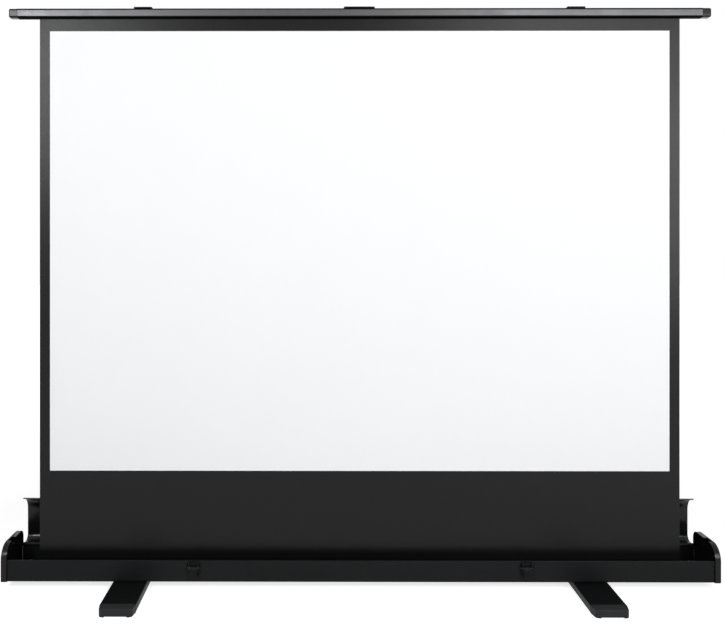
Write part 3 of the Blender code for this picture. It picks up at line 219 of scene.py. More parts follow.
class ScreenFootSizes(bpy.types.PropertyGroup):
    """Sizes of the swivel feet."""

    wall: length("Wall", 0.003, "Wall of a foot")
    corner: length("Corner", 0.004, "Upper corners of a foot")
    soft_edge: length("Soft edge", 0.0006, "Small round on a foot's edges")
    tip_width: length("Tip width", 0.082, "Width of a foot's tip")
    tip_corner: length("Tip corner", 0.010, "Corners of a tip, from above")
    tip_round: length("Tip round", 0.0026, "Rounded upper edge of a tip")
    pad_width: length("Pad width", 0.014, "Pads under a tip")
    pad_rise: length("Pad rise", 0.002, "Height of the pads")
    bolt_hole: length("Bolt hole", 0.0045, "Radius of the swivel bolt's hole")
    access: length("Access hole", 0.011, "Radius of the hole below the bolt")


class ScreenLatchSizes(bpy.types.PropertyGroup):
    """Sizes of the two latches."""

    plate: length("Plate", 0.002, "Thickness of a latch plate")
    plate_corner: length("Plate corner", 0.003, "Corners of a latch plate")
    ear: length("Ear", 0.003, "Thickness of an ear")
    ear_radius: length("Ear radius", 0.0038, "Round of an ear")
    rivet: length("Rivet", 0.0026, "Radius of a rivet's head")
    rivet_crown: length("Rivet crown", 0.0010, "Height of a rivet's head")
    barrel: length("Barrel", 0.0034, "Radius of the lever's barrel")
    blade: length("Blade", 0.005, "Thickness of the lever")
    blade_back: length("Blade back", 0.001, "Back of the lever behind its pin")
    tip_flare: length("Tip flare", 0.0012, "Lip at the lever's lower end")
    wire: length("Wire", 0.0012, "Radius of the bail's wire")
    soft_edge: length("Soft edge", 0.0004, "Small round on sharp edges")


class ScreenColours(bpy.types.PropertyGroup):
    """Colours of the finishes."""

    case_paint: tint("Case paint", (0.008, 0.0084, 0.009), "Satin charcoal paint of the case")
    lid_gloss: tint("Lid", SOLID_COLOURS["lid_gloss"], "Gloss black coat of the lid")
    cap_plastic: tint("Caps", SOLID_COLOURS["cap_plastic"], "Gloss black mouldings")
    steel: tint("Steel", SOLID_COLOURS["steel"], "Zinc plated steel")
    latch_plastic: tint("Latches", (0.006, 0.006, 0.0065), "Satin black latches")
    foot_paint: tint("Feet", (0.004, 0.0042, 0.0046), "Satin charcoal paint of the feet")
    foot_plastic: tint("Foot tips", (0.018, 0.0185, 0.0195), "Matte grey tips of the feet")
    bar_aluminium: tint("Bar", (0.080, 0.080, 0.084), "Satin dark anodised bar")
    arm_aluminium: tint("Arms", SOLID_COLOURS["arm_aluminium"], "Satin black anodised arms")
    black_fabric: tint("Black sheet", (0.003, 0.003, 0.0033), "Black backing and borders")
    white_fabric: tint("White sheet", SOLID_COLOURS["white_fabric"], "Matte white viewing surface")
    dust: tint("Dust", (0.20, 0.19, 0.175), "Thin dust on upward faces")
    bare_metal: tint("Bare metal", (0.35, 0.35, 0.36), "Worn edges of painted metal")
    # a dark specular tint that stands in for the dark surroundings mirrored along the bar's edges:
    # painted reflection
    bar_glint: tint("Bar painted reflection", (0.12, 0.12, 0.12), "What the bar mirrors along its edges")
    floor: tint("Floor", (0.80, 0.80, 0.80), "Pale floor")


class ScreenStage(bpy.types.PropertyGroup):
    """The camera, the lamps and the floor."""

    eye: FloatVectorProperty(
        name="Eye", description="Place of the camera", default=(-0.116, -2.257, 0.901), size=3,
        subtype="TRANSLATION", unit="LENGTH",
    )
    pan: angle("Pan", 0.25, "Turn of the camera to the left")
    lens: FloatProperty(name="Lens", description="Focal length in millimetres", default=42.48)
    shift_x: FloatProperty(name="Shift across", description="Lens shift sideways", default=0.07)
    shift_y: FloatProperty(name="Shift up", description="Lens shift upwards", default=-0.105)
    left_power: power("Left lamp", 37, "Tall soft lamp on the left")
    right_power: power("Right lamp", 33, "Tall soft lamp on the right")
    high_power: power("High lamp", 16, "Small soft lamp high on the right")
    top_power: power("Top lamp", 8, "Wide soft lamp above")
    fill: share("Fill", 0.11, "Even light from all round")
    floor_size: length("Floor size", 30.0, "Width of the floor")
    glow_start: length("Glow start", 1.3, "Where the floor starts to brighten, from the middle")
    glow_end: length("Glow end", 2.6, "Where the floor has turned white")
    near_glow: FloatProperty(name="Near glow", description="Floor's lift nearby", default=0.75)
    far_glow: FloatProperty(name="Far glow", description="Floor's lift far off", default=1.1)


GROUPS = {
    "screen_case": ScreenCaseSizes,
    "screen_bar": ScreenBarSizes,
    "screen_sheet": ScreenSheetSizes,
    "screen_arm": ScreenArmSizes,
    "screen_foot": ScreenFootSizes,
    "screen_latch": ScreenLatchSizes,
    "screen_colours": ScreenColours,
    "screen_stage": ScreenStage,
}


# Modelling steps

def named(piece, name):
    piece.name = name
    piece.data.name = name
    return piece


def start(name, add, scale=(1, 1, 1), **settings):
    """Add a primitive with nothing else selected, with its size and place in its mesh."""
    if bpy.context.mode != "OBJECT":
        bpy.ops.object.mode_set(mode="OBJECT")
    bpy.ops.object.select_all(action="DESELECT")
    add(**settings)
    piece = named(bpy.context.active_object, name)
    piece.scale = scale
    bpy.ops.object.transform_apply(location=True, rotation=True, scale=True)
    return piece


def edit_all(kind="VERT"):
    """Enter edit mode with everything selected."""
    bpy.ops.object.mode_set(mode="EDIT")
    bpy.ops.mesh.select_mode(type=kind)
    bpy.ops.mesh.select_all(action="SELECT")


def pick(kind, test):
    """Select only the vertices, edges or faces that pass a test, in edit mode."""
    bpy.ops.mesh.select_mode(type=kind)
    bpy.ops.mesh.select_all(action="DESELECT")
    data = bpy.context.edit_object.data
    shape = bmesh.from_edit_mesh(data)
    for item in {"VERT": shape.verts, "EDGE": shape.edges, "FACE": shape.faces}[kind]:
        if test(item):
            item.select_set(True)
    shape.select_flush_mode()
    bmesh.update_edit_mesh(data)


def draw(name, points, closed=True, filled=True):
    """Draw a line by extruding one vertex from point to point, and fill it with a face."""
    piece = start(name, bpy.ops.mesh.primitive_plane_add, size=SPECK, location=points[0])
    edit_all()
    bpy.ops.mesh.merge(type="CENTER")
    for here, there in zip(points, points[1:]):
        pull(Vector(there) - Vector(here), bpy.ops.mesh.extrude_vertices_move)
    if closed:
        ends = (Vector(points[0]), Vector(points[-1]))
        pick("VERT", lambda vert: min((vert.co - end).length for end in ends) < NEAR)
        bpy.ops.mesh.edge_face_add()
    bpy.ops.mesh.select_all(action="SELECT")
    if closed and filled:
        bpy.ops.mesh.edge_face_add()
        bpy.ops.mesh.select_all(action="SELECT")
    return piece


def pull(step, extrude=bpy.ops.mesh.extrude_region_move):
    """Extrude what is selected by one step."""
    extrude(TRANSFORM_OT_translate={"value": step})


def tidy_shell():
    """Merge doubles, turn the faces outwards and leave edit mode."""
    bpy.ops.mesh.select_all(action="SELECT")
    bpy.ops.mesh.remove_doubles(threshold=WELD)
    bpy.ops.mesh.normals_make_consistent(inside=False)
    bpy.ops.object.mode_set(mode="OBJECT")


def round_edges(test, width, segments):
    """Round the edges that pass a test, in edit mode."""
    pick("EDGE", test)
    bpy.ops.mesh.bevel(offset=width, segments=segments, affect="EDGES")


def left_of(x):
    """A test for edges that lie wholly to the left of a place."""
    return lambda edge: max(vert.co.x for vert in edge.verts) < x


def choose(piece):
    bpy.ops.object.select_all(action="DESELECT")
    piece.select_set(True)
    bpy.context.view_layer.objects.active = piece


def modify(piece, kind, **settings):
    """Add a modifier and apply it."""
    choose(piece)
    modifier = piece.modifiers.new(kind.lower(), kind)
    for key, value in settings.items():
        setattr(modifier, key, value)
    bpy.ops.object.modifier_apply(modifier=modifier.name)


def smooth(piece):
    choose(piece)
    bpy.ops.object.shade_smooth_by_angle(angle=math.radians(SMOOTH_DEG))


def soften(piece, width, segments=2, limit_deg=MOULDED_DEG):
    """Round the sharp edges a little and shade the rest smooth, with the flat faces kept flat."""
    modify(
        piece, "BEVEL", width=width, segments=segments, limit_method="ANGLE",
        angle_limit=math.radians(limit_deg), miter_outer="MITER_ARC", use_clamp_overlap=True,
    )
    smooth(piece)
    modify(piece, "WEIGHTED_NORMAL", mode="FACE_AREA", weight=50, keep_sharp=True)


def carve(piece, cutter, operation="DIFFERENCE"):
    """Cut a piece with another one, or join them, and delete the other one."""
    modify(piece, "BOOLEAN", object=cutter, operation=operation, solver="EXACT")
    bpy.data.objects.remove(cutter, do_unlink=True)


def block(low, high):
    """A box from corner to corner, used to cut or join."""
    middle = [(a + b) / 2 for a, b in zip(low, high)]
    size = [b - a for a, b in zip(low, high)]
    return start("block", bpy.ops.mesh.primitive_cube_add, size=1, location=middle, scale=size)


def drill(piece, radius, first, last, operation="DIFFERENCE"):
    """Cut a round hole between two points, or join a round bar."""
    way = Vector(last) - Vector(first)
    bar = start(
        "bar", bpy.ops.mesh.primitive_cylinder_add, vertices=HOLE_SIDES, radius=radius,
        depth=way.length, location=(Vector(last) + Vector(first)) / 2,
        rotation=way.to_track_quat("Z", "Y").to_euler(),
    )
    carve(piece, bar, operation)


def drill_x(piece, radius, low_x, high_x, place, operation="DIFFERENCE"):
    """The same along X, at a place given as (y, z)."""
    drill(piece, radius, (low_x, *place), (high_x, *place), operation)


def copied(piece, name):
    """A copy of a piece with its own mesh, left in edit mode with everything selected."""
    choose(piece)
    bpy.ops.object.duplicate(linked=False)
    copy = named(bpy.context.active_object, name)
    edit_all()
    return copy


def twin(piece, name, axis=0):
    """A mirrored copy of a piece."""
    copy = copied(piece, name)
    scale = [1, 1, 1]
    scale[axis] = -1
    bpy.ops.transform.resize(value=scale, center_override=(0, 0, 0))
    tidy_shell()
    return copy


def settle(piece, body, slot, *nodes):
    """Give a finished piece its finish, what it stands for and the body it rides on."""
    piece.data.materials.clear()
    piece.data.materials.append(finishes[slot])
    if nodes:
        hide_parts(*nodes)
    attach(piece, body)


def settle_pair(piece, stem, width, segments, body, node):
    """Mirror a left moulding, soften both and settle them."""
    for word, each in (("left", piece), ("right", twin(piece, stem + "_right"))):
        soften(each, width, segments)
        settle(each, body, "cap_plastic", node + word)


def arc(middle, radius, first, last, steps):
    """Points on an arc in a plane, from one angle to another in degrees."""
    points = []
    for step in range(steps + 1):
        turn = math.radians(first + (last - first) * step / steps)
        points.append((middle[0] + radius * math.cos(turn), middle[1] + radius * math.sin(turn)))
    return points


def rounded_box(low, high, corner, inset=0, first=0):
    """A closed outline with rounded corners, drawn in by an inset, from one quarter turn on."""
    line = []
    for step in range(4):
        quarter = (first + step) % 4
        across = high[0] - corner if quarter in (0, 3) else low[0] + corner
        upward = high[1] - corner if quarter in (0, 1) else low[1] + corner
        turn = 90 * quarter
        line += arc((across, upward), corner - inset, turn, turn + 90, CORNER_STEPS)
    return line


def across_x(x, points):
    return [(x, y, z) for y, z in points]


def across_y(y, points):
    return [(x, y, z) for x, z in points]


def prism(name, points, step):
    """A closed outline that is filled and pulled by one step."""
    piece = draw(name, points)
    pull(step)
    tidy_shell()
    return piece


def extrusion(name, points, low_x, high_x):
    """A closed section of (y, z) pulled along X."""
    return prism(name, across_x(low_x, points), (high_x - low_x, 0, 0))


# Case, lid and end caps

def port_places(case, low):
    """The two screw ports' centres as (y, z)."""
    inset = case.wall + case.port_inset
    height = low.z + case.wall / 2 + case.port_radius
    return ((low.y + inset, height), (low.y + case.depth - inset, height))


def port_line(case, low, port):
    """The floor's upper line where it wraps round one screw port, rear to front."""
    root = math.degrees(math.asin((low.z + case.wall - port[1]) / case.port_radius))
    mouth = math.degrees(case.port_mouth)
    line = arc(port, case.port_radius, root, mouth, CORNER_STEPS)
    line += arc(port, case.port_bore, mouth, -180 - mouth, 2 * CORNER_STEPS)
    return line + arc(port, case.port_radius, 180 - mouth, 180 - root, CORNER_STEPS)


def case_line(case, low):
    """The case's section as a closed line of (y, z)."""
    rear = low.y + case.depth
    top = low.z + case.wall_height
    floor = low.z + case.wall
    corner = case.corner
    inner = case.corner - case.wall
    front_in = low.y + case.wall
    rear_in = rear - case.wall
    hinge = (case.hinge_y, top)
    socket = case.socket_radius + case.socket_wall
    meets_out = math.degrees(math.asin((rear - case.hinge_y) / socket)) - 90
    meets_in = math.degrees(math.asin((rear_in - case.hinge_y) / socket)) - 90
    first = math.degrees(case.socket_low)
    last = math.degrees(case.socket_high)
    lip = case.lip_height / 2
    lip_in = low.y + case.lip_width
    lip_low = top - case.lip_height
    line = arc((low.y + corner, low.z + corner), corner, 180, 270, CORNER_STEPS)
    line += arc((rear - corner, low.z + corner), corner, 270, 360, CORNER_STEPS)
    line += arc(hinge, socket, meets_out, first, CORNER_STEPS)
    line += arc(hinge, case.socket_radius, first, last - 360, WIDE_STEPS)
    line += arc(hinge, socket, last, 360 + meets_in, WIDE_STEPS)
    line += arc((rear_in - inner, floor + inner), inner, 0, -90, CORNER_STEPS)
    for port in reversed(port_places(case, low)):
        line += port_line(case, low, port)
    line += arc((front_in + inner, floor + inner), inner, -90, -180, CORNER_STEPS)
    line += [(front_in, lip_low), (lip_in, lip_low + lip / 2)]
    line += arc((lip_in - lip, top - lip), lip, 0, 90, CORNER_STEPS)
    line += arc((low.y + lip, top - lip), lip, 90, 180, CORNER_STEPS)
    return line


class SCREEN_OT_case_channel(bpy.types.Operator):
    """Model the long case as one extruded channel"""

    bl_idname = "screen.case_channel"
    bl_label = "Case"

    def execute(self, context):
        case = context.scene.screen_case
        bolt_hole = context.scene.screen_foot.bolt_hole
        low, high = node_box("case_shell")
        channel = extrusion("case_channel", case_line(case, low), low.x, high.x)
        for word, _side in SIDES:
            x = centre("foot_bolt_" + word)[0]
            over = low.z + case.wall + OVERRUN
            drill(channel, bolt_hole, (x, 0, low.z - OVERRUN), (x, 0, over))
        soften(channel, case.soft_edge / 2, 2, EXTRUDED_DEG)
        settle(channel, "case", "case_paint", "case_shell")
        return {"FINISHED"}


def lid_line(case):
    """The lid's section from its front lip to its hinge bead, as (reach, rise) from the hinge."""
    front = case.lid_front - case.hinge_y
    rear = case.lid_wall / 2
    wall = case.lid_wall
    front_radius = case.lid_front_radius
    rear_radius = case.lid_rear_radius
    half_neck = case.neck / 2
    bead_turn = math.degrees(math.asin(half_neck / case.bead))
    front_centre = (front + front_radius, case.lid_rise - front_radius)
    rear_centre = (rear - rear_radius, case.lid_rise - rear_radius)
    flare = case.neck_length + case.neck_flare
    line = [(front, -case.lid_lap)]
    line += arc(front_centre, front_radius, 180, 90, WIDE_STEPS)
    line += arc(rear_centre, rear_radius, 90, 0, WIDE_STEPS)
    line += [(rear, flare), (half_neck, case.neck_length)]
    line += arc((0, 0), case.bead, 90 - bead_turn, bead_turn - 270, WIDE_STEPS)
    line += [(-half_neck, case.neck_length), (rear - wall, flare)]
    line += arc(rear_centre, rear_radius - wall, 0, 90, WIDE_STEPS)
    line += arc(front_centre, front_radius - wall, 90, 180, WIDE_STEPS)
    line.append((front + wall, -case.lid_lap))
    return line


class SCREEN_OT_lid_skin(bpy.types.Operator):
    """Model the open lid as one curved skin with its hinge bead"""

    bl_idname = "screen.lid_skin"
    bl_label = "Lid"

    def execute(self, context):
        case = context.scene.screen_case
        low, high = node_box("lid_shell")
        hinge_z = node_box("case_shell")[0].z + case.wall_height
        open_line = [(case.hinge_y + rise, hinge_z - reach) for reach, rise in lid_line(case)]
        lid = extrusion("lid_skin", open_line, low.x, high.x)
        soften(lid, case.soft_edge, 3, EXTRUDED_DEG)
        settle(lid, "lid", "lid_gloss", "lid_shell")
        return {"FINISHED"}


def cap_line(case, low, inset):
    """The end cap's outline drawn in by an inset, as a closed line of (y, z)."""
    front = case.lid_front - case.cap_margin
    rear = case.hinge_y + case.cap_rear_margin
    top = low.z + case.wall_height + case.lid_rise + case.cap_margin
    line = []
    for radius, y, z, turn, steps in (
        (case.cap_corner, front, low.z, 180, CORNER_STEPS),
        (case.cap_corner, rear, low.z, 270, CORNER_STEPS),
        (case.lid_rear_radius, rear, top, 0, WIDE_STEPS),
        (case.lid_front_radius + case.cap_margin, front, top, 90, WIDE_STEPS),
    ):
        across = y + radius if y == front else y - radius
        upward = z - radius if z == top else z + radius
        line += arc((across, upward), radius - inset, turn, turn + 90, steps)
    return line


def pocket_line(case, low):
    """The end cap's hollow: the case's inside below the hinge, and the cap's own skin above it."""
    front_in = low.y + case.wall
    rear_in = low.y + case.depth - case.wall
    floor = low.z + case.wall
    hinge_z = low.z + case.wall_height
    rear = case.hinge_y + case.cap_rear_margin - case.cap_skin
    bend_z = hinge_z + case.lid_rise - case.lid_front_radius
    line = [(front_in, floor), (rear_in, floor), (rear_in, hinge_z), (rear, hinge_z)]
    line += [point for point in cap_line(case, low, case.cap_skin) if point[1] > hinge_z]
    return line + [(case.lid_front - case.cap_margin + case.cap_skin, bend_z), (front_in, bend_z)]


class SCREEN_OT_end_caps(bpy.types.Operator):
    """Model one moulded end cap with its hollow, slot and ribs, and mirror it"""

    bl_idname = "screen.end_caps"
    bl_label = "End caps"

    def execute(self, context):
        case = context.scene.screen_case
        base = node_box("case_shell")[0]
        low, high = node_box("end_cap_left")
        bar_low, bar_high = node_box("top_bar")
        hinge_z = base.z + case.wall_height
        inner = low.x + case.cap_skin
        past = high.x + OVERRUN
        cap = draw("end_moulding_left", across_x(high.x, cap_line(case, base, 0)))
        pull((low.x - high.x, 0, 0))
        round_edges(left_of(low.x + SPECK), case.cap_edge, END_STEPS)
        tidy_shell()
        carve(cap, extrusion("pocket", pocket_line(case, base), inner, past))
        margin = case.cap_edge * 2
        half = case.cap_rib / 2
        for place in CAP_RIBS:
            y = low.y + (high.y - low.y) * place
            first = (inner - SPECK, y - half, base.z + case.wall - SPECK)
            carve(cap, block(first, (high.x - margin, y + half, hinge_z - margin)), "UNION")
        gap = case.cap_slot_gap
        slot_low = (node_box("bar_end_plug_left")[0].x - gap, bar_low.y - gap, hinge_z)
        carve(cap, block(slot_low, (past, bar_high.y + gap, high.z + OVERRUN)))
        for port in port_places(case, base):
            boss = case.screw_seat + SPECK
            drill_x(cap, boss, low.x + case.cap_skin / 2, high.x, port, "UNION")
            drill_x(cap, case.port_bore, low.x - OVERRUN, past, port)
            drill_x(cap, case.screw_seat, low.x - OVERRUN, low.x + case.screw_head, port)
        settle_pair(cap, "end_moulding", case.soft_edge, 2, "case", "end_cap_")
        return {"FINISHED"}


# Top bar

def bar_line(bar, low, high, inset):
    """The bar's outline drawn in by an inset, from its lower rear corner round to its front one."""
    return rounded_box(low.yz, high.yz, bar.corner, inset, 3)


class SCREEN_OT_top_rail(bpy.types.Operator):
    """Model the hollow top bar with the slot for the sheet"""

    bl_idname = "screen.top_rail"
    bl_label = "Top bar"

    def execute(self, context):
        bar = context.scene.screen_bar
        low, high = node_box("top_bar")
        rear = centre("top_bar")[1] + bar.slot / 2
        front = rear - bar.slot
        inside = low.z + bar.wall
        line = [(rear, low.z)] + bar_line(bar, low, high, 0) + [(front, low.z), (front, inside)]
        line += bar_line(bar, low, high, bar.wall)[::-1] + [(rear, inside)]
        rail = extrusion("top_rail", line, low.x, high.x)
        soften(rail, bar.soft_edge, 2, EXTRUDED_DEG)
        settle(rail, "bar", "bar_aluminium", "top_bar")
        return {"FINISHED"}


class SCREEN_OT_rail_plugs(bpy.types.Operator):
    """Model one end plug with its collar and spigot, and mirror it"""

    bl_idname = "screen.rail_plugs"
    bl_label = "Bar end plugs"

    def execute(self, context):
        bar = context.scene.screen_bar
        rail_low, rail_high = node_box("top_bar")
        low, high = node_box("bar_end_plug_left")
        seat = rail_low.x - TOUCH
        plug = draw("rail_plug_left", across_x(seat, bar_line(bar, rail_low, rail_high, 0)))
        pull((-bar.collar, 0, 0))
        bpy.ops.mesh.inset(thickness=bar.collar_step, depth=0)
        pull((low.x - seat + bar.collar, 0, 0))
        round_edges(left_of(low.x + NEAR), bar.plug_round, END_STEPS)
        pick("FACE", lambda face: face.calc_center_median().x > seat - NEAR)
        bpy.ops.mesh.inset(thickness=bar.wall + NUDGE, depth=0)
        pull((high.x - seat, 0, 0))
        tidy_shell()
        settle_pair(plug, "rail_plug", bar.soft_edge, 2, "bar", "bar_end_plug_")
        return {"FINISHED"}


def saddle(name, bar, line, low_x, high_x):
    """A moulded saddle over the bar, pulled along X, with its two front corners rounded."""
    piece = draw(name, across_x(low_x, line))
    pull((high_x - low_x, 0, 0))
    front = min(point[0] for point in line)
    ends = (low_x, high_x)
    round_edges(lambda edge: is_front_corner(edge, front, ends), bar.saddle_corner, EDGE_STEPS)
    tidy_shell()
    return piece


def is_front_corner(edge, front, ends):
    """True for the upright edges at the two front corners."""
    first, last = (vert.co for vert in edge.verts)
    upright = (first.xy - last.xy).length < WELD
    at_end = min(abs(first.x - end) for end in ends) < NEAR
    return upright and at_end and abs(first.y - front) < NEAR


class SCREEN_OT_saddles(bpy.types.Operator):
    """Model the two arm saddles and the pull handle that sit over the top bar"""

    bl_idname = "screen.saddles"
    bl_label = "Saddles and pull handle"

    def execute(self, context):
        bar = context.scene.screen_bar
        rear = node_box("top_bar")[1].y + NUDGE
        low, high = node_box("arm_bracket_left")
        crown = high.z - bar.saddle_crown
        line = [
            (low.y, crown), (rear, crown), (rear, low.z), (high.y, low.z), (high.y, high.z),
            (low.y, high.z),
        ]
        left = saddle("arm_saddle_left", bar, line, low.x, high.x)
        pin_low, pin_high = node_box("top_pin_left")
        x, _y, z = centre("top_pin_left")
        radius = (pin_high.x - pin_low.x) / 2 + bar.pin_gap
        drill(left, radius, (x, rear - OVERRUN, z), (x, high.y + OVERRUN, z))
        settle_pair(left, "arm_saddle", bar.saddle_round, 3, "bar", "arm_bracket_")
        self.make_grip(bar, rear)
        return {"FINISHED"}

    def make_grip(self, bar, rear):
        """The pull handle: a saddle with a finger lip behind it and grooves along its crown."""
        low, high = node_box("pull_handle")
        crown = high.z - bar.saddle_crown
        leg_rear = rear + bar.saddle_plate
        lip_low = crown - bar.grip_drop
        lip_front = high.y - bar.grip_lip
        line = [
            (low.y, crown), (rear, crown), (rear, lip_low), (leg_rear, lip_low), (leg_rear, crown),
            (lip_front, crown), (lip_front, lip_low), (high.y, lip_low), (high.y, high.z),
            (low.y, high.z),
        ]
        grip = saddle("pull_grip", bar, line, low.x, high.x)
        half = bar.groove / 2
        margin = bar.saddle_corner * 2
        for place in GRIP_GROOVES:
            y = low.y + (high.y - low.y) * place
            first = (low.x + margin, y - half, high.z - half)
            carve(grip, block(first, (high.x - margin, y + half, high.z + OVERRUN)))
        soften(grip, bar.saddle_round / 2, 3)
        settle(grip, "bar", "cap_plastic", "pull_handle")


# Projection sheet

def upright_sheet(name, sheet, node, thickness):
    """An upright sheet of fine cells as large as a CAD node, faintly rippled, with a thickness."""
    low, high = node_box(node)
    width, height = high.x - low.x, high.z - low.z
    piece = start(
        name, bpy.ops.mesh.primitive_grid_add, x_subdivisions=round(width / sheet.cell),
        y_subdivisions=round(height / sheet.cell), size=1, location=centre(node),
        rotation=(math.pi / 2, 0, 0), scale=(width, height, 1),
    )
    texture = bpy.data.textures.get("sheet_ripples")
    if texture is None:
        texture = bpy.data.textures.new("sheet_ripples", "CLOUDS")
        texture.noise_scale = sheet.ripple_size
        texture.noise_depth = 1
    modify(
        piece, "DISPLACE", texture=texture, texture_coords="GLOBAL", direction="Y",
        strength=sheet.ripple, mid_level=0.5,
    )
    modify(piece, "SOLIDIFY", thickness=thickness, offset=0)
    smooth(piece)
    return piece, (width, height)


class SCREEN_OT_drawn_sheet(bpy.types.Operator):
    """Model the drawn sheet: black fabric with the white viewing surface on its front"""

    bl_idname = "screen.drawn_sheet"
    bl_label = "Projection sheet"

    def execute(self, context):
        sheet = context.scene.screen_sheet
        black, black_flat = upright_sheet("black_sheet", sheet, "screen_fabric", sheet.thickness)
        white, white_flat = upright_sheet("white_surface", sheet, "viewing_surface", sheet.coat)
        settle(black, "case", "black_fabric", "screen_fabric")
        settle(white, "case", "white_fabric", "viewing_surface")
        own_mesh(black)
        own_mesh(white)
        return {"FINISHED"}


class SCREEN_OT_wound_sheet(bpy.types.Operator):
    """Model the turns of the sheet that stay on the roller as one spiral"""

    bl_idname = "screen.wound_sheet"
    bl_label = "Sheet on the roller"

    def execute(self, context):
        sheet = context.scene.screen_sheet
        low, high = node_box("fabric_roll")
        tube_low, tube_high = node_box("roller_tube")
        _x, y, z = centre("fabric_roll")
        outer = (high.y - low.y) / 2 - sheet.thickness / 2
        inner = (tube_high.y - tube_low.y) / 2 + sheet.thickness
        steps = round(ROLL_TURNS * 2 * math.pi / sheet.turn_step)
        points = []
        for step in range(steps + 1):
            radius = outer + (inner - outer) * step / steps
            turn = -sheet.turn_step * step
            points.append((y + radius * math.cos(turn), z + radius * math.sin(turn)))
        roll = draw("wound_sheet", across_x(low.x, points), closed=False)
        pull((high.x - low.x, 0, 0))
        tidy_shell()
        modify(roll, "SOLIDIFY", thickness=sheet.thickness, offset=0)
        smooth(roll)
        settle(roll, "roller", "black_fabric", "fabric_roll")
        return {"FINISHED"}


# Arms

class SCREEN_OT_arm_links(bpy.types.Operator):
    """Model one flat link with its bores and long hollows, and place four copies of it"""

    bl_idname = "screen.arm_links"
    bl_label = "Folding arms"

    def execute(self, context):
        arm = context.scene.screen_arm
        link = self.make_link(arm)
        for word, side in SIDES:
            for place, pin, lean in (("lower", "base_pin_", -side), ("upper", "elbow_pin_", side)):
                node = place + "_arm_" + word
                x, _y, z = centre(pin + word)
                copy = copied(link, "arm_link_" + place + "_" + word)
                bpy.ops.transform.rotate(
                    value=-lean * arm.lean, orient_axis="Y", center_override=(0, 0, 0)
                )
                bpy.ops.transform.translate(value=(x, node_box(node)[0].y, z))
                bpy.ops.object.mode_set(mode="OBJECT")
                settle(copy, place + "_" + word, "arm_aluminium", node)
                self.check_place(copy, node)
        bpy.data.objects.remove(link, do_unlink=True)
        return {"FINISHED"}

    def make_link(self, arm):
        """One upright link with its lower pin at the origin and its front face at y 0."""
        link = prism(
            "arm_link", across_y(0, self.stadium(arm.width / 2, 0, arm.link)), (0, arm.thickness, 0)
        )
        hollow = self.stadium(arm.width / 2 - arm.rim, arm.boss, arm.link - arm.boss)
        past = arm.thickness + OVERRUN
        for low_y, high_y in ((-OVERRUN, arm.hollow), (arm.thickness - arm.hollow, past)):
            carve(link, prism("hollow", across_y(low_y, hollow), (0, high_y - low_y, 0)))
        for z in (0, arm.link):
            drill(link, arm.bore, (0, -OVERRUN, z), (0, past, z))
        soften(link, arm.soft_edge, 3)
        return link

    def stadium(self, radius, low_z, high_z):
        """An upright outline of (x, z) with round ends about two points."""
        line = arc((0, high_z), radius, 0, 180, WIDE_STEPS)
        return line + arc((0, low_z), radius, 180, 360, WIDE_STEPS)

    def check_place(self, copy, node):
        """Stop if a link isn't where its CAD node is."""
        low, high = node_box(node)
        for axis in range(3):
            values = [vert.co[axis] for vert in copy.data.vertices]
            if abs(min(values) - low[axis]) > SPECK or abs(max(values) - high[axis]) > SPECK:
                raise RuntimeError(copy.name + " isn't where " + node + " is")


# Feet

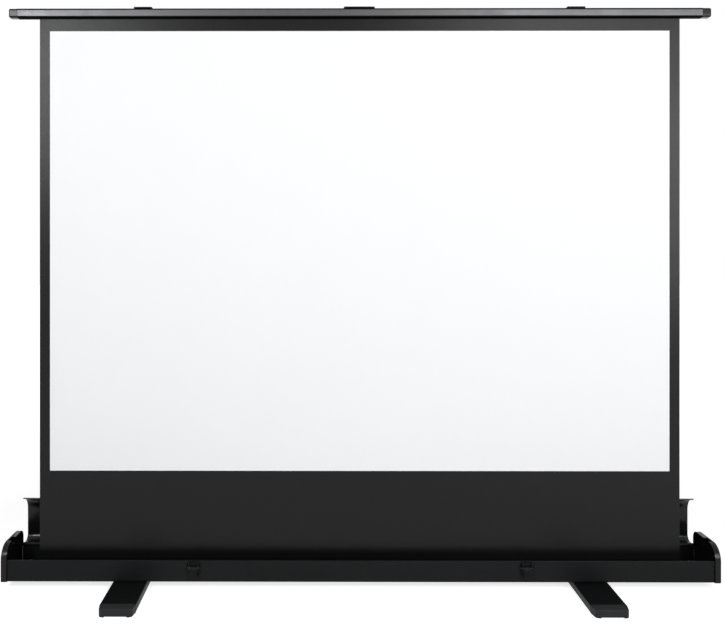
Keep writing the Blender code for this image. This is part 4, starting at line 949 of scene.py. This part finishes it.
class SCREEN_OT_feet(bpy.types.Operator):
    """Model one hollow swivel foot and one moulded tip, and copy them"""

    bl_idname = "screen.feet"
    bl_label = "Feet"

    def execute(self, context):
        foot = context.scene.screen_foot
        left = self.make_beam(foot)
        tip = self.make_tip(foot)
        rear_tip = twin(tip, "foot_tip_rear_left", 1)
        pieces = [(left, "left", "foot_paint", "foot_left")]
        pieces.append((twin(left, "foot_beam_right"), "right", "foot_paint", "foot_right"))
        for piece, end in ((tip, "front"), (rear_tip, "rear")):
            pieces.append((piece, "left", "foot_plastic", "foot_cap_" + end + "_left"))
            copy = twin(piece, "foot_tip_" + end + "_right")
            pieces.append((copy, "right", "foot_plastic", "foot_cap_" + end + "_right"))
        for piece, word, slot, node in pieces:
            soften(piece, foot.soft_edge)
            settle(piece, word + "_foot", slot, node)
        return {"FINISHED"}

    def make_beam(self, foot):
        """The left foot: an outline drawn across Y and pulled, with a wall and the bolt's holes."""
        low, high = node_box("foot_left")
        x, _y, middle = centre("foot_left")
        corner = foot.corner
        line = [(low.x, low.z), (high.x, low.z)]
        line += arc((high.x - corner, high.z - corner), corner, 0, 90, CORNER_STEPS)
        line += arc((low.x + corner, high.z - corner), corner, 90, 180, CORNER_STEPS)
        beam = draw("foot_beam_left", across_y(low.y, line), filled=False)
        edit_all("EDGE")
        pull((0, high.y - low.y, 0))
        tidy_shell()
        modify(beam, "SOLIDIFY", thickness=foot.wall, offset=-1, use_even_offset=True)
        drill(beam, foot.bolt_hole, (x, 0, middle), (x, 0, high.z + OVERRUN))
        drill(beam, foot.access, (x, 0, low.z - OVERRUN), (x, 0, middle))
        return beam

    def make_tip(self, foot):
        """The front left tip: narrower at its end, rounded above, with two pads below."""
        low, high = node_box("foot_cap_front_left")
        beam_low, beam_high = node_box("foot_left")
        x = (low.x + high.x) / 2
        half = (beam_high.x - beam_low.x) / 2
        tip = foot.tip_width / 2
        corner = foot.tip_corner
        joint_y = beam_low.y - NUDGE
        line = [(half, joint_y), (-half, joint_y)]
        line += arc((corner - tip, low.y + corner), corner, 180, 270, CORNER_STEPS)
        line += arc((tip - corner, low.y + corner), corner, 270, 360, CORNER_STEPS)
        piece = draw("foot_tip_front_left", [(x + across, y, low.z) for across, y in line])
        pull((0, 0, high.z - low.z))
        round_edges(
            lambda edge: min(vert.co.z for vert in edge.verts) > high.z - NEAR
            and min(vert.co.y for vert in edge.verts) < joint_y - NEAR,
            foot.tip_round, EDGE_STEPS,
        )
        tidy_shell()
        inner = tip - foot.pad_width
        first = (x - inner, low.y - OVERRUN, low.z - OVERRUN)
        carve(piece, block(first, (x + inner, joint_y + OVERRUN, low.z + foot.pad_rise)))
        return piece


# Latches

class SCREEN_OT_latches(bpy.types.Operator):
    """Model one latch: a plate with ears and rivets, a lever and a wire bail, and copy it"""

    bl_idname = "screen.latches"
    bl_label = "Latches"

    def execute(self, context):
        latch = context.scene.screen_latch
        apart = -2 * centre("latch_plate_left")[0]
        kinds = (
            (self.make_plate, "catch_plate", "case", "latch_plate_"),
            (self.make_rivets, "catch_rivets", "case", None),
            (self.make_lever, "catch_lever", "_lever", "latch_lever_"),
            (self.make_bail, "catch_bail", "_bail", "latch_bail_"),
        )
        pieces = [make(latch, stem + "_left") for make, stem, _body, _node in kinds]
        for piece, (_make, stem, body, node) in zip(pieces, kinds):
            copy = copied(piece, stem + "_right")
            bpy.ops.transform.translate(value=(apart, 0, 0))
            bpy.ops.object.mode_set(mode="OBJECT")
            for word, each in (("left", piece), ("right", copy)):
                rides = body if body == "case" else word + body
                settle(each, rides, "latch_plastic", *([node + word] if node else []))
        return {"FINISHED"}

    def drill_pin(self, piece, low, high):
        """Cut the pin's bore through a piece."""
        pin_low, pin_high = node_box("latch_pin_left")
        bore = (pin_high.y - pin_low.y) / 2 + NUDGE
        drill_x(piece, bore, low.x - OVERRUN, high.x + OVERRUN, centre("latch_pin_left")[1:])

    def make_plate(self, latch, name):
        """A rounded plate on the case with two ears that hold the pin."""
        low, high = node_box("latch_plate_left")
        pin = centre("latch_pin_left")[1:]
        line = rounded_box(low.xz, high.xz, latch.plate_corner)
        plate = prism(name, across_y(high.y, line), (0, -latch.plate, 0))
        root = high.y - latch.plate / 2
        ear = [(root, pin[1] + latch.ear_radius)]
        ear += arc(pin, latch.ear_radius, 90, 270, WIDE_STEPS)
        ear.append((root, pin[1] - latch.ear_radius))
        for x in (low.x + WELD, high.x - latch.ear - WELD):
            carve(plate, extrusion("ear", ear, x, x + latch.ear), "UNION")
        self.drill_pin(plate, low, high)
        soften(plate, latch.soft_edge)
        return plate

    def make_rivets(self, latch, name):
        """Four domed rivet heads near the corners of the plate."""
        low, high = node_box("latch_plate_left")
        front = high.y - latch.plate
        inset = latch.plate_corner + latch.rivet / 2
        heads = []
        for x in (low.x + inset, high.x - inset):
            for z in (low.z + inset, high.z - inset):
                head = start(
                    "head", bpy.ops.mesh.primitive_uv_sphere_add, segments=RIVET_SIDES,
                    ring_count=RIVET_SIDES // 2, radius=latch.rivet, location=(x, front, z),
                    rotation=(math.pi / 2, 0, 0),
                    scale=(1, 1, latch.rivet_crown / latch.rivet),
                )
                edit_all()
                bpy.ops.mesh.bisect(
                    plane_co=(x, front + NUDGE, z), plane_no=(0, 1, 0), use_fill=True,
                    clear_outer=True,
                )
                tidy_shell()
                heads.append(head)
        choose(heads[0])
        for head in heads:
            head.select_set(True)
        bpy.ops.object.join()
        rivets = named(bpy.context.active_object, name)
        smooth(rivets)
        return rivets

    def make_lever(self, latch, name):
        """The lever: a barrel round the pin and a blade with a flared tip and a finger hollow."""
        low, high = node_box("latch_lever_left")
        pin = centre("latch_pin_left")[1:]
        back = pin[0] - latch.blade_back
        front = back - latch.blade
        flare = latch.tip_flare
        line = [(back, low.z), (back, pin[1] - latch.barrel)]
        line += arc(pin, latch.barrel, -90, 180, WIDE_STEPS)
        line.append((front, pin[1] - latch.barrel))
        line += [(front, low.z + 2 * flare), (front - flare, low.z)]
        lever = extrusion(name, line, low.x, high.x)
        self.drill_pin(lever, low, high)
        bail_pin = (back - latch.blade / 2, node_box("latch_bail_left")[0].z + latch.wire)
        drill_x(lever, latch.wire + NUDGE, low.x - OVERRUN, high.x + OVERRUN, bail_pin)
        middle = (low.x + high.x) / 2
        radius = latch.blade * FINGER_RADIUS
        y = front - radius + flare
        first = (middle, y, low.z + flare * FINGER_LOW)
        drill(lever, radius, first, (middle, y, pin[1] - latch.barrel * FINGER_HIGH))
        soften(lever, latch.soft_edge)
        return lever

    def make_bail(self, latch, name):
        """The bail: one bent wire with rounded corners, from one side of the lever to the other."""
        low, high = node_box("latch_bail_left")
        wire = latch.wire
        half = (high.x - low.x) / 2 - wire
        root_y = node_box("latch_lever_left")[0].y + latch.tip_flare + latch.blade / 2
        root_z = low.z + wire
        knee_z = root_z + (high.z - low.z) * BAIL_KNEE
        top_y, top_z = high.y - wire, high.z - wire
        bend = wire * BAIL_BEND
        cut = bend * BAIL_CHAMFER
        side = [
            (half - wire * BAIL_END, root_y, root_z), (half, root_y, root_z),
            (half, root_y, knee_z), (half, top_y, top_z - cut), (half - cut, top_y, top_z),
        ]
        middle = (low.x + high.x) / 2
        corners = [(middle - x, y, z) for x, y, z in side]
        corners += [(middle + x, y, z) for x, y, z in reversed(side)]
        route = rounded([Vector(corner) for corner in corners], bend / 2)
        curve = bpy.data.curves.new(name, "CURVE")
        curve.dimensions = "3D"
        curve.bevel_depth = wire
        curve.bevel_resolution = WIRE_STEPS
        curve.use_fill_caps = True
        spline = curve.splines.new("POLY")
        spline.points.add(len(route) - 1)
        for point, place in zip(spline.points, route):
            point.co = (*place, 1)
        bail = bpy.data.objects.new(name, curve)
        bpy.context.scene.collection.objects.link(bail)
        choose(bail)
        bpy.ops.object.convert(target="MESH")
        bail = bpy.context.active_object
        edit_all()
        tidy_shell()
        smooth(bail)
        return bail


def rounded(corners, radius):
    """A route through corners, each one drawn as a short quadratic bend."""
    route = [corners[0]]
    for before, corner, after in zip(corners, corners[1:], corners[2:]):
        into, out = before - corner, after - corner
        first = corner + into.normalized() * min(radius, into.length / 2)
        last = corner + out.normalized() * min(radius, out.length / 2)
        for step in range(EDGE_STEPS + 1):
            t = step / EDGE_STEPS
            route.append(first * (1 - t) ** 2 + corner * 2 * t * (1 - t) + last * t ** 2)
    return route + [corners[-1]]


# Shader nodes

def feed(tree, node, inputs):
    """Link each input that is given as a socket, and set the others."""
    for key, value in inputs.items():
        if isinstance(value, bpy.types.NodeSocket):
            tree.links.new(value, node.inputs[key])
        else:
            node.inputs[key].default_value = value
    return node


def add_node(tree, kind, inputs=None, **settings):
    """Add a shader node, set it and feed it. Gives its outputs."""
    made = tree.nodes.new(kind)
    for key, value in settings.items():
        setattr(made, key, value)
    return feed(tree, made, inputs or {}).outputs


def new_group(name, inputs, outputs):
    """A node group with named sockets. Gives its tree, its inputs and its output node."""
    tree = bpy.data.node_groups.new(name, "ShaderNodeTree")
    for way, sockets in (("INPUT", inputs), ("OUTPUT", outputs)):
        for title, kind in sockets.items():
            tree.interface.new_socket(name=title, in_out=way, socket_type="NodeSocket" + kind)
    given = tree.nodes.new("NodeGroupInput")
    return tree, given.outputs, tree.nodes.new("NodeGroupOutput")


def noise(tree, place, scale, detail, roughness):
    inputs = {"Vector": place, "Scale": scale, "Detail": detail, "Roughness": roughness}
    return add_node(tree, "ShaderNodeTexNoise", inputs)["Fac"]


def math_node(tree, operation, first, second=0.0, clamp=False):
    inputs = {0: first, 1: second}
    return add_node(tree, "ShaderNodeMath", inputs, operation=operation, use_clamp=clamp)[0]


def vector_node(tree, operation, first, second):
    key = "Scale" if operation == "SCALE" else 1
    return add_node(tree, "ShaderNodeVectorMath", {0: first, key: second}, operation=operation)


def scaled(tree, colour, factor):
    return vector_node(tree, "SCALE", colour, factor)[0]


def spread(tree, value, low, high, to_low=0.0, to_high=1.0):
    """A value stretched from one range to another, and kept inside it."""
    inputs = {"From Min": low, "From Max": high, "To Min": to_low, "To Max": to_high}
    return add_node(tree, "ShaderNodeMapRange", {"Value": value, **inputs})["Result"]


def object_place(tree):
    return add_node(tree, "ShaderNodeTexCoord")["Object"]


def true_normal(tree):
    return add_node(tree, "ShaderNodeNewGeometry")["Normal"]


def upward_part(tree):
    return add_node(tree, "ShaderNodeSeparateXYZ", {0: true_normal(tree)})["Z"]


def mix_over(tree, result, mask, colour, cover):
    """Put out a colour with another one over it where a mask says so, and the mask."""
    mixed = add_node(tree, "ShaderNodeMix", {0: mask, 6: colour, 7: cover}, data_type="RGBA")[2]
    feed(tree, result, {"Colour": mixed, "Mask": mask})


def swing_about(tree, middle, value, swing, clamp=False):
    """A middle value that a noise swings up and down."""
    centred = math_node(tree, "SUBTRACT", value, 0.5)
    return math_node(tree, "ADD", math_node(tree, "MULTIPLY", centred, swing), middle, clamp)


def make_handling_group():
    """Roughness that varies where hands and cloths have passed."""
    inputs = {"Roughness": "Float", "Spread": "Float", "Scale": "Float"}
    tree, given, result = new_group("handling_marks", inputs, {"Roughness": "Float"})
    broad = noise(tree, object_place(tree), given["Scale"], detail=4.0, roughness=0.6)
    total = swing_about(tree, given["Roughness"], broad, given["Spread"], clamp=True)
    feed(tree, result, {"Roughness": total})
    return tree


def make_dust_group():
    """Thin dust that lies on upward faces in soft patches."""
    inputs = {"Colour": "Color", "Dust": "Color", "Amount": "Float"}
    tree, given, result = new_group("settled_dust", inputs, {"Colour": "Color", "Mask": "Float"})
    place = object_place(tree)
    facing = spread(tree, upward_part(tree), 0.55, 1.0)
    patches = spread(tree, noise(tree, place, scale=9.0, detail=5.0, roughness=0.65), 0.35, 0.75)
    specks = spread(tree, noise(tree, place, scale=900.0, detail=2.0, roughness=0.6), 0.45, 0.7)
    cover = math_node(tree, "MULTIPLY", math_node(tree, "MULTIPLY", facing, patches), specks)
    mask = math_node(tree, "MULTIPLY", cover, given["Amount"], clamp=True)
    mix_over(tree, result, mask, given["Colour"], given["Dust"])
    return tree


def make_wear_group():
    """Bare metal in small broken patches along convex edges."""
    inputs = {"Colour": "Color", "Bare": "Color", "Amount": "Float"}
    tree, given, result = new_group("worn_edges", inputs, {"Colour": "Color", "Mask": "Float"})
    place = object_place(tree)
    eased = add_node(tree, "ShaderNodeBevel", {"Radius": 0.0012}, samples=6)["Normal"]
    turned = vector_node(tree, "DOT_PRODUCT", eased, true_normal(tree))["Value"]
    edges = spread(tree, turned, 0.995, 0.90)
    broken = spread(tree, noise(tree, place, scale=120.0, detail=5.0, roughness=0.7), 0.50, 0.68)
    rubbed = math_node(tree, "MULTIPLY", edges, broken)
    mask = math_node(tree, "MULTIPLY", rubbed, given["Amount"], clamp=True)
    mix_over(tree, result, mask, given["Colour"], given["Bare"])
    return tree


def make_mottle_group():
    """A colour that drifts a little lighter and darker over the surface."""
    inputs = {"Colour": "Color", "Swing": "Float", "Scale": "Float"}
    tree, given, result = new_group("soft_mottle", inputs, {"Colour": "Color"})
    drift = noise(tree, object_place(tree), given["Scale"], detail=3.0, roughness=0.6)
    factor = swing_about(tree, 1.0, drift, given["Swing"])
    feed(tree, result, {"Colour": scaled(tree, given["Colour"], factor)})
    return tree


def make_painted_corner_shade_group():
    """Painted shade: a colour that darkens where a piece turns up or down, standing in for the dark
    reflections along a drawn bar's upper and lower corners.
    """
    inputs = {"Colour": "Color", "Tone": "Float"}
    tree, given, result = new_group("dark_corners", inputs, {"Colour": "Color"})
    turned = spread(tree, math_node(tree, "ABSOLUTE", upward_part(tree)), 0.08, 0.45)
    lost = math_node(tree, "MULTIPLY", turned, math_node(tree, "SUBTRACT", 1.0, given["Tone"]))
    factor = math_node(tree, "SUBTRACT", 1.0, lost)
    feed(tree, result, {"Colour": scaled(tree, given["Colour"], factor)})
    return tree


def make_grain_group():
    """Height of a fine grain, as on moulded plastic and sprayed paint."""
    inputs = {"Scale": "Float", "Pebble": "Float"}
    tree, given, result = new_group("fine_grain", inputs, {"Height": "Float"})
    place = object_place(tree)
    fine = noise(tree, place, given["Scale"], detail=3.0, roughness=0.55)
    cell_inputs = {"Vector": place, "Scale": given["Scale"]}
    cells = add_node(tree, "ShaderNodeTexVoronoi", cell_inputs, feature="SMOOTH_F1")["Distance"]
    pebbles = math_node(tree, "MULTIPLY", cells, given["Pebble"])
    feed(tree, result, {"Height": math_node(tree, "ADD", fine, pebbles)})
    return tree


def make_lines_group():
    """Height of fine lines drawn along X, as on extruded and brushed metal."""
    tree, given, result = new_group("drawn_lines", {"Scale": "Float"}, {"Height": "Float"})
    long_way = vector_node(tree, "MULTIPLY", object_place(tree), (0.012, 1.0, 1.0))[0]
    fine = noise(tree, long_way, given["Scale"], detail=4.0, roughness=0.7)
    broad_scale = math_node(tree, "MULTIPLY", given["Scale"], 0.2)
    broad = noise(tree, long_way, broad_scale, detail=2.0, roughness=0.5)
    height = math_node(tree, "ADD", fine, math_node(tree, "MULTIPLY", broad, 0.6))
    feed(tree, result, {"Height": height})
    return tree


def make_weave_group():
    """Height of a plain weave in the upright plane across Y, and a tone from that height and a slub
    noise: painted shade in the weave's hollows, and real slub tone.
    """
    outputs = {"Height": "Float", "Tone": "Float"}
    tree, given, result = new_group("plain_weave", {"Pitch": "Float"}, outputs)
    place = add_node(tree, "ShaderNodeSeparateXYZ", {0: object_place(tree)})
    turns = math_node(tree, "DIVIDE", math.pi, given["Pitch"])
    across = math_node(tree, "MULTIPLY", place["X"], turns)
    upward = math_node(tree, "MULTIPLY", math_node(tree, "ADD", place["Z"], place["Y"]), turns)
    warp, weft = (
        math_node(tree, "ABSOLUTE", math_node(tree, "SINE", way)) for way in (across, upward)
    )
    crossing = [math_node(tree, "COSINE", way) for way in (across, upward)]
    side = spread(tree, math_node(tree, "MULTIPLY", *crossing), -0.15, 0.15)
    height = add_node(tree, "ShaderNodeMix", {0: side, 2: warp, 3: weft}, data_type="FLOAT")[0]
    slub = noise(tree, object_place(tree), scale=350.0, detail=2.0, roughness=0.5)
    # the tone follows the weave's height, so the hollows get painted shade; the slub adds real
    # thread tone
    tone = math_node(tree, "MULTIPLY", math_node(tree, "ADD", height, slub), 0.5)
    feed(tree, result, {"Height": height, "Tone": tone})
    return tree


def bump(tree, height, strength, distance, normal=None):
    inputs = {"Height": height, "Strength": strength, "Distance": distance}
    if normal is not None:
        inputs["Normal"] = normal
    return add_node(tree, "ShaderNodeBump", inputs)["Normal"]


def blank(name, colour):
    """A material with only its shader and output. Gives the material, its tree and the shader."""
    material = bpy.data.materials.new(name)
    material.use_nodes = True
    material.diffuse_color = rgba(colour)
    tree = material.node_tree
    tree.nodes.clear()
    output = tree.nodes.new("ShaderNodeOutputMaterial")
    shader = tree.nodes.new("ShaderNodeBsdfPrincipled")
    tree.links.new(shader.outputs["BSDF"], output.inputs["Surface"])
    return material, tree, shader


def rgba(colour):
    return (*colour, 1.0)


# Finishes

RELIEF = 0.0002  # depth of the drawn lines and the weave
PAINT = {  # satin sprayed paint: orange peel, faint extrusion lines, dust and worn edges
    "mottle": 0.35, "mottle_scale": 6, "wear": 0.25, "wear_metallic": 0.9, "dust": 0.03,
    "roughness": 0.42, "smudges": 0.22, "smudge_scale": 7, "line_scale": 700, "lines": 0.05,
    "grain_scale": 900, "pebbles": 0.5, "grain": 0.05, "grain_depth": 0.0002,
}
GLOSS = {  # gloss black coat or moulding: soft waviness, smudges and a little dust
    "mottle": 0.3, "mottle_scale": 9, "dust": 0.04, "roughness": 0.20, "smudges": 0.16,
    "smudge_scale": 14, "line_scale": 500, "grain_scale": 260, "pebbles": 0.3, "grain": 0.05,
    "grain_depth": 0.0003,
}
PLASTIC = {  # matte moulded plastic with a pebbled grain and rubbed edges
    "mottle": 0.3, "mottle_scale": 30, "wear": 0.35, "dust": 0.04, "smudges": 0.2,
    "smudge_scale": 25, "grain_scale": 1400, "pebbles": 1.0, "grain": 0.35,
    "grain_depth": 0.0003,
}
METAL = {  # anodised or plated metal with drawn lines and a mottled tone
    "mottle_scale": 60, "smudges": 0.25, "smudge_scale": 20, "line_scale": 900,
    "grain_scale": 1500, "pebbles": 0.2, "grain": 0.06, "grain_depth": 0.0002,
}
CLOTH = {  # coated woven sheet: a fine weave in relief, a tone with painted shade in the weave's hollows, and a broad drift
    "mottle_scale": 5, "smudges": 0.08, "smudge_scale": 4, "weave": 0.10,
}
LOOKS = {
    "case_paint": {**PAINT, "name": "satin_case_paint", "level": 0.08},
    "foot_paint": {**PAINT, "name": "satin_foot_paint", "level": 0.05},
    "lid_gloss": {**GLOSS, "name": "gloss_lid_coat", "lines": 0.05, "level": 0.2},
    "cap_plastic": {**GLOSS, "name": "gloss_black_moulding", "level": 0.17},
    "latch_plastic": {
        **PLASTIC, "name": "satin_latch_moulding", "roughness": 0.42, "level": 0.08,
    },
    "foot_plastic": {
        **PLASTIC, "name": "grained_tip_moulding", "roughness": 0.6, "level": 0.15,
    },
    "steel": {
        **METAL, "name": "zinc_plated_steel", "roughness": 0.34, "metallic": 1.0,
        "lines": 0.10, "mottle": 0.35,
    },
    "bar_aluminium": {
        **METAL, "name": "dark_anodised_bar", "roughness": 0.40, "metallic": 0.9,
        # the bar's colour keeps only this share where it turns up or down: painted shade at its
        # corners
        "lines": 0.12, "mottle": 0.15, "painted_shade_keep": 0.05,
    },
    "arm_aluminium": {
        **METAL, "name": "black_anodised_links", "roughness": 0.40, "metallic": 0.5,
        "mottle": 0.2,
    },
    "black_fabric": {
        **CLOTH, "name": "black_coated_sheet", "roughness": 0.32, "pitch": 0.0009,
        "level": 0.18, "mottle": 0.25,
    },
    "white_fabric": {
        **CLOTH, "name": "matte_white_surface", "roughness": 0.75, "pitch": 0.0006,
        "level": 0.25, "sheen": 0.05, "mottle": 0.02,
    },
}


def paler(colour):
    """The colour of rubbed plastic."""
    factor, lift = PALER
    return [min(1, part * factor + lift) for part in colour]


def make_finish(slot, look, groups, colours):
    """A finish from its look: tone, painted corner shade, wear, dust, roughness, relief and shine,
    if it has them.
    """
    colour = getattr(colours, slot)
    material, tree, shader = blank(look["name"], colour)

    def use(group, **inputs):
        made = tree.nodes.new("ShaderNodeGroup")
        made.node_tree = groups[group]
        return feed(tree, made, inputs).outputs

    tone = use(
        "soft_mottle", Colour=rgba(colour), Swing=look["mottle"], Scale=look["mottle_scale"]
    )["Colour"]
    rough = use(
        "handling_marks", Roughness=look["roughness"], Spread=look["smudges"],
        Scale=look["smudge_scale"],
    )["Roughness"]
    settings = {"Specular IOR Level": look.get("level", 0.5), "Metallic": look.get("metallic", 0)}
    normal = None
    # painted shade where the bar turns up or down, and a dark specular tint as a painted reflection
    # along its edges
    if "painted_shade_keep" in look:
        tone = use("dark_corners", Colour=tone, Tone=look["painted_shade_keep"])["Colour"]
        # painted reflection: the dark tint dims what the bar mirrors along its edges
        settings["Specular Tint"] = rgba(colours.bar_glint)
    if "wear" in look:
        metal = "wear_metallic" in look
        bare = colours.bare_metal if metal else paler(colour)
        worn = use("worn_edges", Colour=tone, Bare=rgba(bare), Amount=look["wear"])
        tone = worn["Colour"]
        if metal:
            settings["Metallic"] = math_node(tree, "MULTIPLY", worn["Mask"], look["wear_metallic"])
    if "dust" in look:
        dust = rgba(colours.dust)
        tone = use("settled_dust", Colour=tone, Dust=dust, Amount=look["dust"])["Colour"]
    if "pitch" in look:
        swing = look["mottle"]
        weave = use("plain_weave", Pitch=look["pitch"])
        # thread tone from the weave: painted shade in its hollows, with real slub
        thread_tone_and_shade = spread(tree, weave["Tone"], 0.0, 1.0, 1.0 - swing, 1.0 + swing / 2)
        tone = scaled(tree, tone, thread_tone_and_shade)
        normal = bump(tree, weave["Height"], look["weave"], RELIEF)
    if "lines" in look:
        lines = use("drawn_lines", Scale=look["line_scale"])
        normal = bump(tree, lines["Height"], look["lines"], RELIEF)
    if "grain" in look:
        grain = use("fine_grain", Scale=look["grain_scale"], Pebble=look["pebbles"])
        normal = bump(tree, grain["Height"], look["grain"], look["grain_depth"], normal)
    if "sheen" in look:
        settings.update({"Sheen Weight": look["sheen"], "Sheen Roughness": 0.5})
    feed(tree, shader, {"Base Color": tone, "Roughness": rough, "Normal": normal, **settings})
    return material


class SCREEN_OT_finishes(bpy.types.Operator):
    """Make every finish, and give the CAD pieces that stay theirs"""

    bl_idname = "screen.finishes"
    bl_label = "Finishes"

    def execute(self, context):
        colours = context.scene.screen_colours
        makers = (
            make_handling_group, make_dust_group, make_wear_group, make_mottle_group,
            make_painted_corner_shade_group, make_grain_group, make_lines_group, make_weave_group,
        )
        groups = {tree.name: tree for tree in (make() for make in makers)}
        for slot, look in LOOKS.items():
            finishes[slot] = make_finish(slot, look, groups, colours)
        for node in frame["nodes"].values():
            for place in node.material_slots:
                slot = place.material.name.split(".")[0]
                if slot not in finishes:
                    raise RuntimeError("no finish for the slot " + slot)
                place.material = finishes[slot]
        return {"FINISHED"}


# Stage

LAMPS = (  # name, its power, width and height, place, and the point that it looks at
    ("left_lamp", "left_power", (0.5, 0.95), (-1.60, -2.35, 1.78), (-0.3, 0, 0.85)),
    ("right_lamp", "right_power", (0.6, 1.3), (1.82, -2.35, 1.32), (0.2, 0, 0.85)),
    ("high_lamp", "high_power", (0.7, 0.45), (0.98, -2.35, 2.02), (0.1, 0, 0.85)),
    ("top_lamp", "top_power", (2.4, 1.2), (0, -0.6, 3.0), (0, 0, 0.6)),
)


def seen_directly(tree):
    """1 for what the camera sees straight, in a reflection or through glass."""
    path = add_node(tree, "ShaderNodeLightPath")
    either = math_node(tree, "ADD", path["Is Camera Ray"], path["Is Glossy Ray"])
    return math_node(tree, "ADD", either, path["Is Transmission Ray"], clamp=True)


class SCREEN_OT_stage(bpy.types.Operator):
    """Set the floor, the soft lamps, the pale background and the camera"""

    bl_idname = "screen.stage"
    bl_label = "Stage"

    def execute(self, context):
        scene = context.scene
        stage = scene.screen_stage
        scene.view_settings.view_transform = "Standard"
        self.make_floor(stage, scene.screen_colours.floor)
        self.make_world(scene, stage)
        for name, watts, size, place, aim in LAMPS:
            data = bpy.data.lights.new(name, "AREA")
            data.shape = "RECTANGLE"
            data.size, data.size_y = size
            data.energy = getattr(stage, watts)
            turn = (Vector(aim) - Vector(place)).to_track_quat("-Z", "Y").to_euler()
            self.put(scene, data, place, turn)
        data = bpy.data.cameras.new("camera")
        data.lens = stage.lens
        data.shift_x = stage.shift_x
        data.shift_y = stage.shift_y
        scene.camera = self.put(scene, data, stage.eye, (math.pi / 2, 0, stage.pan))
        return {"FINISHED"}

    def put(self, scene, data, place, turn):
        """A lamp or camera in its place."""
        made = bpy.data.objects.new(data.name, data)
        made.location = place
        made.rotation_euler = turn
        scene.collection.objects.link(made)
        return made

    def make_floor(self, stage, colour):
        """A pale floor, which keeps the object's shadow and turns white farther off."""
        floor = start("floor", bpy.ops.mesh.primitive_plane_add, size=stage.floor_size)
        material, tree, shader = blank("pale_floor", colour)
        drift = noise(tree, object_place(tree), scale=0.4, detail=2.0, roughness=0.5)
        away = vector_node(tree, "LENGTH", object_place(tree), (0, 0, 0))["Value"]
        glow = spread(
            tree, away, stage.glow_start, stage.glow_end, stage.near_glow, stage.far_glow
        )
        feed(tree, shader, {
            "Base Color": scaled(tree, tuple(colour), spread(tree, drift, 0.3, 0.7, 0.97, 1.0)),
            "Roughness": 0.9,
            "Specular IOR Level": 0.0,
            "Emission Color": (1, 1, 1, 1),
            "Emission Strength": math_node(tree, "MULTIPLY", seen_directly(tree), glow),
        })
        floor.data.materials.append(material)

    def make_world(self, scene, stage):
        """A white background for the camera, and a plain even fill for everything else."""
        world = bpy.data.worlds.new("pale_studio")
        world.use_nodes = True
        tree = world.node_tree
        tree.nodes.clear()
        strength = spread(tree, seen_directly(tree), 0.0, 1.0, stage.fill, 1.0)
        inputs = {"Color": (1, 1, 1, 1), "Strength": strength}
        background = add_node(tree, "ShaderNodeBackground", inputs)
        add_node(tree, "ShaderNodeOutputWorld", {"Surface": background[0]})
        scene.world = world


OPERATORS = (
    SCREEN_OT_finishes, SCREEN_OT_stage, SCREEN_OT_case_channel, SCREEN_OT_lid_skin,
    SCREEN_OT_end_caps, SCREEN_OT_top_rail, SCREEN_OT_rail_plugs, SCREEN_OT_saddles,
    SCREEN_OT_wound_sheet, SCREEN_OT_drawn_sheet, SCREEN_OT_arm_links, SCREEN_OT_feet,
    SCREEN_OT_latches,
)


class SCREEN_PT_builder(bpy.types.Panel):
    """Lists the steps that build the screen"""

    bl_idname = "SCREEN_PT_builder"
    bl_label = "Projection screen"
    bl_space_type = "VIEW_3D"
    bl_region_type = "UI"
    bl_category = "Screen"

    def draw(self, context):
        for operator in OPERATORS:
            self.layout.operator(operator.bl_idname)


def register():
    for group in GROUPS.values():
        bpy.utils.register_class(group)
    for name, group in GROUPS.items():
        setattr(bpy.types.Scene, name, PointerProperty(type=group))
    for operator in OPERATORS:
        bpy.utils.register_class(operator)
    bpy.utils.register_class(SCREEN_PT_builder)


def unregister():
    bpy.utils.unregister_class(SCREEN_PT_builder)
    for operator in reversed(OPERATORS):
        bpy.utils.unregister_class(operator)
    for name, group in reversed(list(GROUPS.items())):
        delattr(bpy.types.Scene, name)
        bpy.utils.unregister_class(group)


def main():
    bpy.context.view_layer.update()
    register()
    for operator in OPERATORS:
        family, name = operator.bl_idname.split(".")
        getattr(getattr(bpy.ops, family), name)()


if __name__ == "__main__":
    main()
